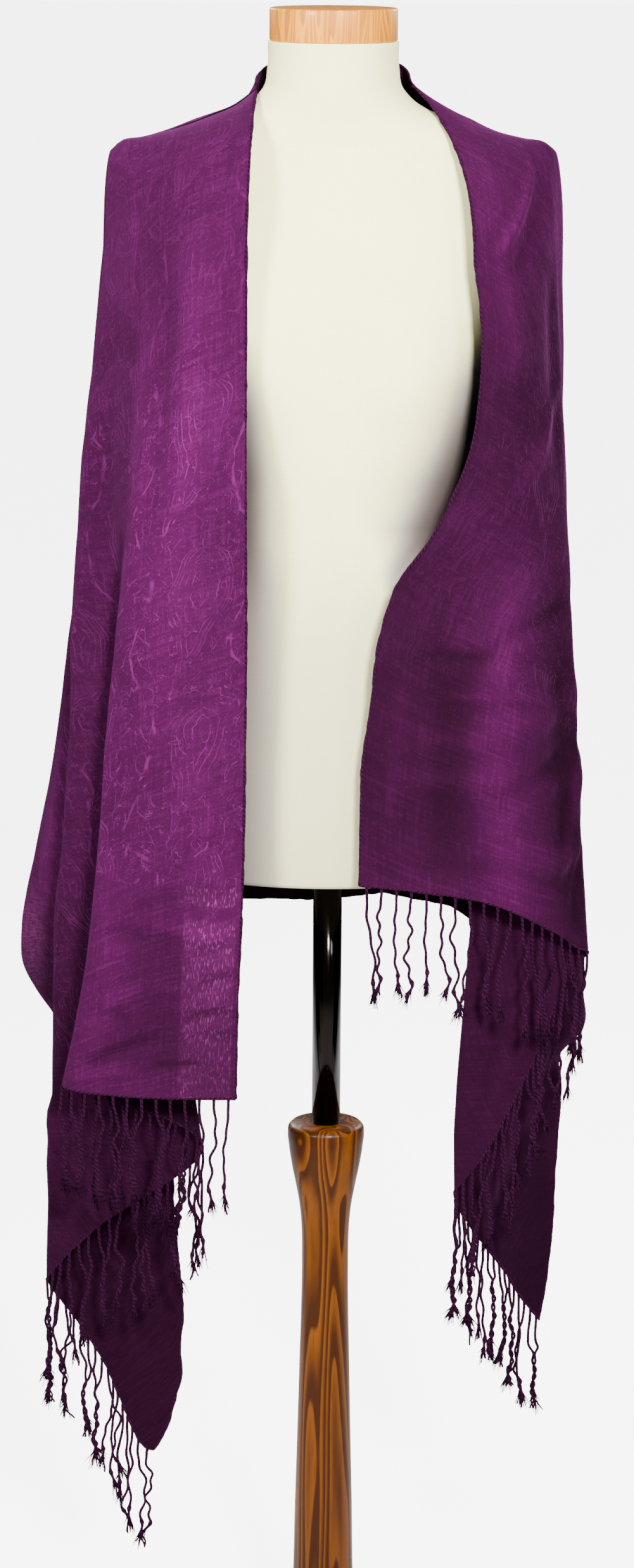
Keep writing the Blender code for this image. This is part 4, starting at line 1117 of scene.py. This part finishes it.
def makeThreadMaterial(name):
    # two plies wound together: a groove with painted shade wherever twice the angle plus the winding meets
    made, tree, shader = newMaterial(name, yarns["shine"])
    tones = yarns[name]
    uv = uvMap(tree, "yarn")
    around, along, _ = splitVector(tree, uv)
    phase = plus(tree, product(tree, around, 4 * math.pi), product(tree, along, yarns["winding"]))
    ply = calc(tree, "SINE", phase)
    fuzz = noiseAt(tree, uv, 400.0, 2.0)["Fac"]
    colour = blendColour(tree, fade(tree, ply, 0.1, -0.9), tones["ply"], tones["grooveShadeAndFuzz"])
    colour = blendColour(tree, fade(tree, fuzz, 0.5, 0.75, 0.0, 0.45), colour, tones["grooveShadeAndFuzz"])
    height = plus(tree, product(tree, ply, yarns["plyHigh"]), product(tree, fuzz, yarns["fuzzHigh"]))
    dressShader(tree, shader, colour, height)
    return made


makeCamera()
makeLights()
print("camera and lights made")
scarfCloth = makeScarfMaterial()
fringeYarn = makeThreadMaterial("fringe yarn")
edgeYarn = makeThreadMaterial("rolled edge yarn")
places, middles, normals, swings = shapeCloth()
print("cloth shaped:", {chart: points.shape[:2] for chart, points in middles.items()})

# Fringe: twisted yarns with a knot and a frayed end, one piece for each stretch of hem

fringe = {
    "spacing": 0.0125,
    "length": 0.098,
    "lengthShare": (0.88, 1.08),
    "radius": 0.00118,
    "sides": 6,
    "steps": 60,
    "leave": 0.004,  # how far a strand follows the cloth before it hangs
    "swings": (0.0046, 0.0026),  # along the hem, and in and out
    "waves": (0.8, 1.9, 4.6),
    "joinShare": 0.45,
    "joinAt": (0.30, 0.62),
    "windings": 6,
    "knotAt": 0.80,
    "hemBump": (0.28, 0.02),  # how much thicker, and over what share of the strand
    "knotBump": (0.85, 0.022),
    "uneven": 0.10,
    "thinner": 0.30,
    "hairs": 20,
    "hairSteps": 7,
    "hairRadius": 0.00062,
    "hairLength": (0.008, 0.016),
    "hairSpread": 0.13,
    "hairFlat": (1.0, 0.8, 0.25),
    "hairCurl": 0.0022,
    "hairDrop": 0.003,
}


def strandPaths(hem, off, count, dice):
    # each strand leaves the hem along the cloth, bends down in a few millimetres, then swings by sine waves.
    # Neighbours in a joined pair lean to their shared middle and wind round it
    run = lengthAlong(hem)
    at = (np.arange(count) + 0.5) * run[-1] / count
    roots, away = readAlong(run, hem, at), readAlong(run, off, at)
    t = np.linspace(0, 1, fringe["steps"])
    length = fringe["length"] * dice.uniform(*fringe["lengthShare"], count)
    left = fringe["leave"] * (1 - np.exp(-t * 14))
    path = np.repeat(roots[:, None], len(t), axis=1)
    path[..., 2] -= length[:, None] * t
    path += away[:, None] * left[None, :, None]
    path[..., 2] += left * 0.6
    heading = unit(np.gradient(roots[:, :2], axis=0))
    heading = np.concatenate([heading, np.zeros((count, 1))], axis=1)
    inOut = np.cross(heading, np.array([0.0, 0.0, 1.0]))
    for direction, size in zip((heading, inOut), fringe["swings"]):
        for waves in fringe["waves"]:
            most, stretch = dice.uniform(-1, 1, (count, 1)), dice.uniform(0.7, 1.3, (count, 1))
            swing = most * np.sin(2 * math.pi * waves * t[None] * stretch + dice.uniform(0, 6.28, (count, 1)))
            swing = (swing - swing[:, :1]) * smoothstep(t, 0.0, 0.35)[None]
            path += (size * swing / waves**0.6)[..., None] * direction[:, None]
    joined = np.zeros(count)
    for k in range(0, count - 1, 2):
        if dice.uniform() < fringe["joinShare"]:
            joined[k:k + 2] = dice.uniform(*fringe["joinAt"])
    spin = t * 2 * math.pi * fringe["windings"]
    around = np.stack([np.cos(spin), np.sin(spin), np.zeros_like(spin)], -1) * fringe["radius"] * 1.05
    for k in np.flatnonzero(joined)[::2]:
        pull = smoothstep(t, joined[k] * 0.35, joined[k])[:, None]
        middle = (path[k] + path[k + 1]) / 2
        path[k] = path[k] * (1 - pull) + (middle + around) * pull
        path[k + 1] = path[k + 1] * (1 - pull) + (middle - around) * pull
    return path


def makeFringe(name, hem, off, seed):
    # a strand is thicker at the hem and at its knot by bumps exp(-(distance / size)^2), uneven all along, and
    # thinner below the knot
    dice = np.random.default_rng(seed)
    count = max(4, round(lengthAlong(hem)[-1] / fringe["spacing"]))
    paths = strandPaths(hem, off, count, dice)
    t = np.linspace(0, 1, fringe["steps"])
    knot = fringe["knotAt"] * dice.uniform(0.94, 1.06, (count, 1))
    thick = 1.0
    for (more, size), away in ((fringe["hemBump"], t[None]), (fringe["knotBump"], t[None] - knot)):
        thick = thick + more * np.exp(-((away / size) ** 2))
    thick = thick + fringe["uneven"] * latticeNoise(paths, (0.004, 0.004, 0.004), seed)
    thick = thick * (1 - fringe["thinner"] * smoothstep(t[None], knot + 0.04, knot + 0.16))
    points, walls, caps, uv = sweptTubes(paths, fringe["radius"] * thick, fringe["sides"])
    # frayed ends: short hairs that leave the strand below its knot and open in a narrow cone
    hairs, steps = fringe["hairs"], fringe["steps"]
    first = np.minimum((knot[:, 0] + 0.05) * (steps - 1), steps - 3).astype(int)
    leave = paths[np.arange(count), first]
    begin = np.repeat(leave, hairs, axis=0)
    lead = unit(np.repeat(paths[np.arange(count), first + 2] - leave, hairs, axis=0))
    spread = dice.normal(0, fringe["hairSpread"], (count * hairs, 3)) * np.array(fringe["hairFlat"])
    direction = unit(lead + spread)
    s = np.linspace(0, 1, fringe["hairSteps"])
    size = dice.uniform(*fringe["hairLength"], count * hairs)
    curl = dice.normal(0, fringe["hairCurl"], (count * hairs, 1, 3)) * (s[None, :, None] ** 2)
    hairPaths = begin[:, None] + direction[:, None] * (size[:, None] * s)[..., None] + curl
    hairPaths[..., 2] -= fringe["hairDrop"] * s[None] ** 2
    hairRadii = np.broadcast_to(fringe["hairRadius"] * (1.5 - 1.1 * s), hairPaths.shape[:2])
    hairPoints, hairWalls, hairCaps, hairUv = sweptTubes(hairPaths, hairRadii, 3)
    faceSets = [walls, caps, hairWalls + len(points), hairCaps + len(points)]
    uvSets = {"yarn": np.concatenate([uv, hairUv])}
    return linkMesh(name, np.concatenate([points, hairPoints]), faceSets, fringeYarn, uvSets)


# Rolled edges along the front, the back's lower edge, the neck and the hems

rolledEdge = {"radius": 0.00105, "sides": 6, "unevenness": 0.6, "step": 0.003}


def makeEdge(name, line, seed):
    run = lengthAlong(line)
    at = np.linspace(0, run[-1], max(8, round(run[-1] / rolledEdge["step"])))
    path = readAlong(run, line, at)[None]
    uneven = rolledEdge["unevenness"] * latticeNoise(path, (0.006, 0.006, 0.006), seed)
    points, walls, caps, uv = sweptTubes(path, rolledEdge["radius"] * (1 + uneven), rolledEdge["sides"])
    return linkMesh(name, points, [walls, caps], edgeYarn, {"yarn": uv})


def makeEdges(name, chart, seed, place, points):
    # the fringe and the rolled edges of one stretch
    if chart == "back":
        onNeck = (place >= scarf["neck"][0]) & (place <= scarf["neck"][1])
        return [makeEdge("edge_back_low", points[:, -1], 75), makeEdge("edge_neck", points[onNeck, 0], 76)]
    hem = points[:, -1]
    strands = makeFringe("yarns_" + name, hem, unit(hem - points[:, -3]), seed + 40)
    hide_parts("fringe_" + name)
    parts = [strands, makeEdge("hem_" + name, hem, seed + 60)]
    tail = scarf["topRows"] + scarf["fallRows"]
    free = {
        "left_front": ("edge_left_front", points[0], 71), "right_front": ("edge_right_front", points[-1], 72),
        "left_back_fold": ("edge_left_tail", points[-1, tail:], 73),
        "right_back_fold": ("edge_right_tail", points[0, tail:], 74),
    }
    if name in free:
        parts.append(makeEdge(*free[name]))
    return parts


uvMaps = {chart: clothUv(points, chart) for chart, points in middles.items()}
for seed, (name, (chart, first, last, flat)) in enumerate(stretches.items()):
    chosen = (places[chart] >= first - 1e-9) & (places[chart] <= last + 1e-9)
    place, points = places[chart][chosen], middles[chart][chosen]
    uvSets = {key: uv[chosen] for key, uv in uvMaps[chart].items()}
    tones = paintedClothShade(chart, place, points[..., 2], swings[chart][chosen])
    cloth = shell("cloth_" + name, points, normals[chart][chosen], uvSets, tones, scarfCloth)
    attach(cloth, "root")
    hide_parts("scarf_" + name)
    parts = makeEdges(name, chart, seed, place, points)
    for part in parts:
        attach(part, "root")
print("cloth and fringe made")

# Form: a padded torso in cream linen

form = {
    "columns": 160,
    "rows": ((0.769, 1.37, 190), (1.37, 1.4714, 90)),  # from height, to height, how many
    "bustAcross": 0.072, "bustHeight": 1.205, "bustOut": 0.016, "bustWide": 0.042, "bustTall": 0.060,
    "underShares": (0.0194811733, 0.8766527999),  # of the lowest ring, for the flat underside
    "topShare": 0.02,
    "coverWide": 0.125,
    # painted shadow beside the cloth's front edges, and painted shade darker towards the bottom
    "edgeShadowDepth": 0.025, "edgeShadowPower": 1.4,
    "lowShade": 0.13, "lowShadeAt": (1.12, 0.94),
}
# Painted shadow on the linen beside the cloth's front edges, where the cloth shades the form. Rows are
# height, width, strength
edgeShadowRows = {
    "left": [(0.770, 0.034, 0.42), (0.900, 0.034, 0.48), (1.000, 0.026, 0.55), (1.060, 0.016, 0.80),
             (1.120, 0.014, 0.85), (1.180, 0.012, 0.50), (1.240, 0.008, 0.0)],
    "right": [(0.770, 0.006, 0.15), (1.020, 0.006, 0.20), (1.050, 0.014, 0.55), (1.075, 0.024, 0.95),
              (1.115, 0.026, 1.0), (1.155, 0.020, 0.90), (1.195, 0.016, 0.50), (1.235, 0.008, 0.0)],
}


def makeForm():
    # level superellipse rings read smoothly from the table, with a soft rise on each side of the chest
    heights = np.unique(np.concatenate([np.linspace(*rows) for rows in form["rows"]]))
    rings = smoothRead(formRings, heights)
    halfWide, front, behind, power = (rings[:, k][:, None] for k in range(4))
    angle = 2 * math.pi * np.arange(form["columns"]) / form["columns"]
    cosine, sine = np.cos(angle)[None], np.sin(angle)[None]
    depth = np.where(sine < 0, front, behind)
    x = halfWide * np.sign(cosine) * np.abs(cosine) ** (2 / power)
    y = depth * np.sign(sine) * np.abs(sine) ** (2 / power)
    z = np.broadcast_to(heights[:, None], x.shape)
    away = (np.abs(x) - form["bustAcross"]) / form["bustWide"]
    rise = (z - form["bustHeight"]) / form["bustTall"]
    y = y - np.where(y < 0, form["bustOut"] * np.exp(-(away**2) - rise**2), 0.0)
    points = np.stack([x, y, z], -1)
    under = [points[:1] * np.array([share, share, 1.0]) for share in form["underShares"]]
    over = points[-1:] * np.array([form["topShare"], form["topShare"], 1.0])
    rings = np.concatenate([*under, points, over])
    rows, columns = rings.shape[:2]
    index = np.arange(rows * columns).reshape(rows, columns)
    nextOne = np.roll(index, -1, axis=1)
    walls = np.stack([index[:-1], nextOne[:-1], nextOne[1:], index[1:]], -1).reshape(-1, 4)
    caps = [index[:1, ::-1], index[-1:]]
    across = np.broadcast_to(angle * form["coverWide"], (rows, columns))
    # painted shadow beside the cloth's front edges and darker towards the bottom, kept in a uv map
    rubAndShade = paintedEdgeShadow(rings).reshape(-1)
    uvSets = {
        "cover": np.stack([across, runFrom(rings, 0)], -1).reshape(-1, 2),
        "rubAndShade": np.stack([rubAndShade, np.zeros_like(rubAndShade)], -1),
    }
    return linkMesh("linen_form", rings.reshape(-1, 3), [walls, *caps], linenMaterial, uvSets)


def paintedEdgeShadow(points):
    # painted shadow: a share that falls with the distance beside the cloth's front edges,
    # exp(-(distance / width)^power), and is no less than a painted shade that grows towards the bottom
    total = np.zeros(points.shape[:2])
    x, y, z = np.moveaxis(points, -1, 0)
    for side, edge, inward in (("left", middles["left"][0], 1), ("right", middles["right"][-1], -1)):
        order = np.argsort(edge[:, 2])
        beside = np.maximum((x - np.interp(z, edge[order, 2], edge[order, 0])) * inward, 0.0)
        heights, widths, strengths = np.array(edgeShadowRows[side]).T
        near = np.exp(-((beside / np.interp(z, heights, widths)) ** form["edgeShadowPower"]))
        total = np.maximum(total, np.interp(z, heights, strengths) * near)
    return np.maximum(total * (y < 0), form["lowShade"] * smoothstep(z, *form["lowShadeAt"]))


linen = {
    "shine": {"Roughness": 0.85, "Sheen Weight": 0.10, "Sheen Roughness": 0.5, "Specular IOR Level": 0.05},
    "plain": (0.790, 0.765, 0.390, 1.0), "pale": (0.825, 0.800, 0.420, 1.0), "gap": (0.60, 0.57, 0.28, 1.0),
    # grey and dark tones of the painted shadow
    "grey": (0.720, 0.660, 0.560, 1.0), "shadowDark": (0.022, 0.0115, 0.0135, 1.0),
    "weave": {"Pitch": 0.0012, "Stretch": 16.0},
    "patchScale": 9.0, "weaveTone": 0.16, "weaveHigh": 0.00035, "greyMost": 0.9,
}


def makeLinenMaterial():
    made, tree, shader = newMaterial("cream linen", linen["shine"])
    spot = objectSpot(tree)
    x, y, z = splitVector(tree, spot)
    weave = useGroup(tree, weaveGroup, Vector=joinVector(tree, plus(tree, x, y), z), **linen["weave"])
    patch = noiseAt(tree, spot, linen["patchScale"], 3.0)["Fac"]
    rubAndShade = splitVector(tree, uvMap(tree, "rubAndShade"))["X"]
    # painted shadow: the share of the dark tone rises as 1 - depth^share, so that the shade fades evenly to
    # the eye
    shadowed = minus(tree, 1.0, calc(tree, "POWER", form["edgeShadowDepth"], rubAndShade))
    colour = linen["plain"]
    # the last two blends paint the shadow: grey first, then dark
    for share, tone in (
        (fade(tree, patch, 0.35, 0.65), "pale"),
        (product(tree, minus(tree, 1.0, weave["Tone"]), linen["weaveTone"]), "gap"),
        (fade(tree, rubAndShade, 0.0, 0.40, 0.0, linen["greyMost"]), "grey"),
        (shadowed, "shadowDark"),
    ):
        colour = blendColour(tree, share, colour, linen[tone])
    dressShader(tree, shader, colour, product(tree, weave["Height"], linen["weaveHigh"]))
    return made


linenMaterial = makeLinenMaterial()
torso = makeForm()
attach(torso, "root")
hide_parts("form_torso")
print("form made")

# Stand: wood cap on the neck, metal pole, turned post and round base

stand = {
    "capRadius": 0.0535, "capTop": 1.499, "capLow": 1.4717, "capRound": 0.0016,
    "poleRadius": 0.0125, "poleTop": 0.7687, "poleLow": 0.5333,
    "postRows": ((0.533, 0.43, 60), (0.43, 0.0243, 60)),  # from height, to height, how many
    "baseRadius": 0.17, "baseHeight": 0.024, "baseRound": 0.008, "footRound": 0.002,
    "middle": 0.001,  # radius of the last ring on a flat end
    "steps": 96,
}
# Rows are radius, height, from the top down
postProfile = [
    (0.03, 0.533), (0.0326, 0.5305), (0.0336, 0.525), (0.0327, 0.513), (0.0298, 0.494), (0.0262, 0.476),
    (0.023, 0.458), (0.0212, 0.44), (0.0205, 0.403), (0.021, 0.36), (0.0219, 0.325), (0.0237, 0.25),
    (0.0257, 0.173), (0.027, 0.11), (0.029, 0.065), (0.031, 0.0243),
]


def roundedCorner(centre, radius, fromDegrees, toDegrees, count=5):
    angle = np.radians(np.linspace(fromDegrees, toDegrees, count))
    return [(centre[0] + radius * math.cos(a), centre[1] + radius * math.sin(a)) for a in angle]


def turnedMesh(name, profile, finish, steps):
    # each profile point (radius, height) goes round the axis, and the first and last ring are closed
    profile = np.array(profile)
    angle = 2 * math.pi * np.arange(steps) / steps
    x = profile[:, :1] * np.cos(angle)[None]
    y = profile[:, :1] * np.sin(angle)[None]
    z = np.broadcast_to(profile[:, 1:], x.shape)
    index = np.arange(x.size).reshape(x.shape)
    nextOne = np.roll(index, -1, axis=1)
    walls = np.stack([index[:-1], index[1:], nextOne[1:], nextOne[:-1]], -1).reshape(-1, 4)
    caps = [index[:1], index[-1:, ::-1]]
    return linkMesh(name, np.stack([x, y, z], -1).reshape(-1, 3), [walls, *caps], finish)


woods = {
    "pale": {
        "light": (0.600, 0.245, 0.006, 1.0), "dark": (0.330, 0.095, 0.003, 1.0),
        "grain": {"Scale": 60.0, "Stretch": 0.10, "Bands": 12.0},
        "shine": {"Roughness": 0.42, "Specular IOR Level": 0.2, "Coat Weight": 0.08},
    },
    "brown": {
        "light": (0.122, 0.0350, 0.0022, 1.0), "dark": (0.0125, 0.0022, 0.0002, 1.0),
        "grain": {"Scale": 30.0, "Stretch": 0.05, "Bands": 14.0},
        "shine": {"Roughness": 0.4, "Specular IOR Level": 0.1, "Coat Weight": 0.06, "Coat Roughness": 0.12},
    },
    "ringTone": 0.85, "patchTone": 0.35, "poreTone": 0.25, "poreHigh": -0.00006,
}


def makeWoodMaterial(name, wood):
    made, tree, shader = newMaterial(name, wood["shine"])
    grain = useGroup(tree, grainGroup, Vector=objectSpot(tree), **wood["grain"])
    colour = wood["light"]
    for share in (
        product(tree, grain["Ring"], woods["ringTone"]),
        fade(tree, grain["Patch"], 0.40, 0.70, 0.0, woods["patchTone"]),
        product(tree, grain["Pore"], woods["poreTone"]),
    ):
        colour = blendColour(tree, share, colour, wood["dark"])
    dressShader(tree, shader, colour, product(tree, grain["Pore"], woods["poreHigh"]))
    return made


chrome = {
    "dark": (0.010, 0.0083, 0.0073, 1.0), "light": (0.018, 0.0150, 0.0135, 1.0),
    "rubScale": (300.0, 300.0, 8.0), "roughness": (0.08, 0.16),
}


def makeMetalMaterial():
    made, tree, shader = newMaterial("dark chrome", {"Metallic": 1.0})
    rubAndShade = noiseAt(tree, stretched(tree, objectSpot(tree), *chrome["rubScale"]), 1.0, 2.0)["Fac"]
    tree.links.new(blendColour(tree, rubAndShade, chrome["dark"], chrome["light"]), shader.inputs["Base Color"])
    tree.links.new(fade(tree, rubAndShade, 0.3, 0.7, *chrome["roughness"]), shader.inputs["Roughness"])
    return made


paleWood = makeWoodMaterial("pale cap wood", woods["pale"])
brownWood = makeWoodMaterial("varnished brown wood", woods["brown"])
metal = makeMetalMaterial()
middle, capRadius, capRound = stand["middle"], stand["capRadius"], stand["capRound"]
capProfile = (
    [(middle, stand["capTop"])]
    + roundedCorner((capRadius - capRound, stand["capTop"] - capRound), capRound, 90, 0)
    + roundedCorner((capRadius - capRound, stand["capLow"] + capRound), capRound, 0, -90)
    + [(middle, stand["capLow"])]
)
postHeights = np.concatenate([np.linspace(*rows)[k > 0:] for k, rows in enumerate(stand["postRows"])])
postRadii = smoothRead([(height, radius) for radius, height in postProfile], postHeights)[:, 0]
postOuter = [(middle, postHeights[0]), *zip(postRadii, postHeights), (middle, postHeights[-1])]
baseRadius, baseRound, footRound = stand["baseRadius"], stand["baseRound"], stand["footRound"]
baseProfile = (
    [(middle, stand["baseHeight"])]
    + roundedCorner((baseRadius - baseRound, stand["baseHeight"] - baseRound), baseRound, 90, 0, 9)
    + roundedCorner((baseRadius - footRound, footRound), footRound, 0, -90)
    + [(middle, 0.0)]
)
poleRadius, poleTop, poleLow = stand["poleRadius"], stand["poleTop"], stand["poleLow"]
poleProfile = [(middle, poleTop), (poleRadius, poleTop), (poleRadius, poleLow), (middle, poleLow)]
for name, node, profile, finish, slot in (
    ("wood_cap", "neck_cap", capProfile, paleWood, "pale_wood"),
    ("metal_pole", "form_pole", poleProfile, metal, "chrome"),
    ("turned_post", "stand_post", postOuter, brownWood, "brown_wood"),
    ("round_base", "stand_base", baseProfile, brownWood, "brown_wood"),
):
    piece = turnedMesh(name, profile, finish, stand["steps"])
    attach(piece, "root")
    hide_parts(node)
print("stand made")


def makeFloor():
    made, tree, shader = newMaterial("pale floor", floor["shine"])
    seen = addNode(tree, "ShaderNodeLightPath").outputs["Is Camera Ray"]
    tree.links.new(product(tree, seen, floor["seen"]), shader.inputs["Emission Strength"])
    corners = np.array([(-1, -1, 0), (1, -1, 0), (1, 1, 0), (-1, 1, 0)]) * floor["half"]
    linkMesh("floor", corners, [np.array([[0, 1, 2, 3]])], made, smooth=False)


makeFloor()
print("finishing")
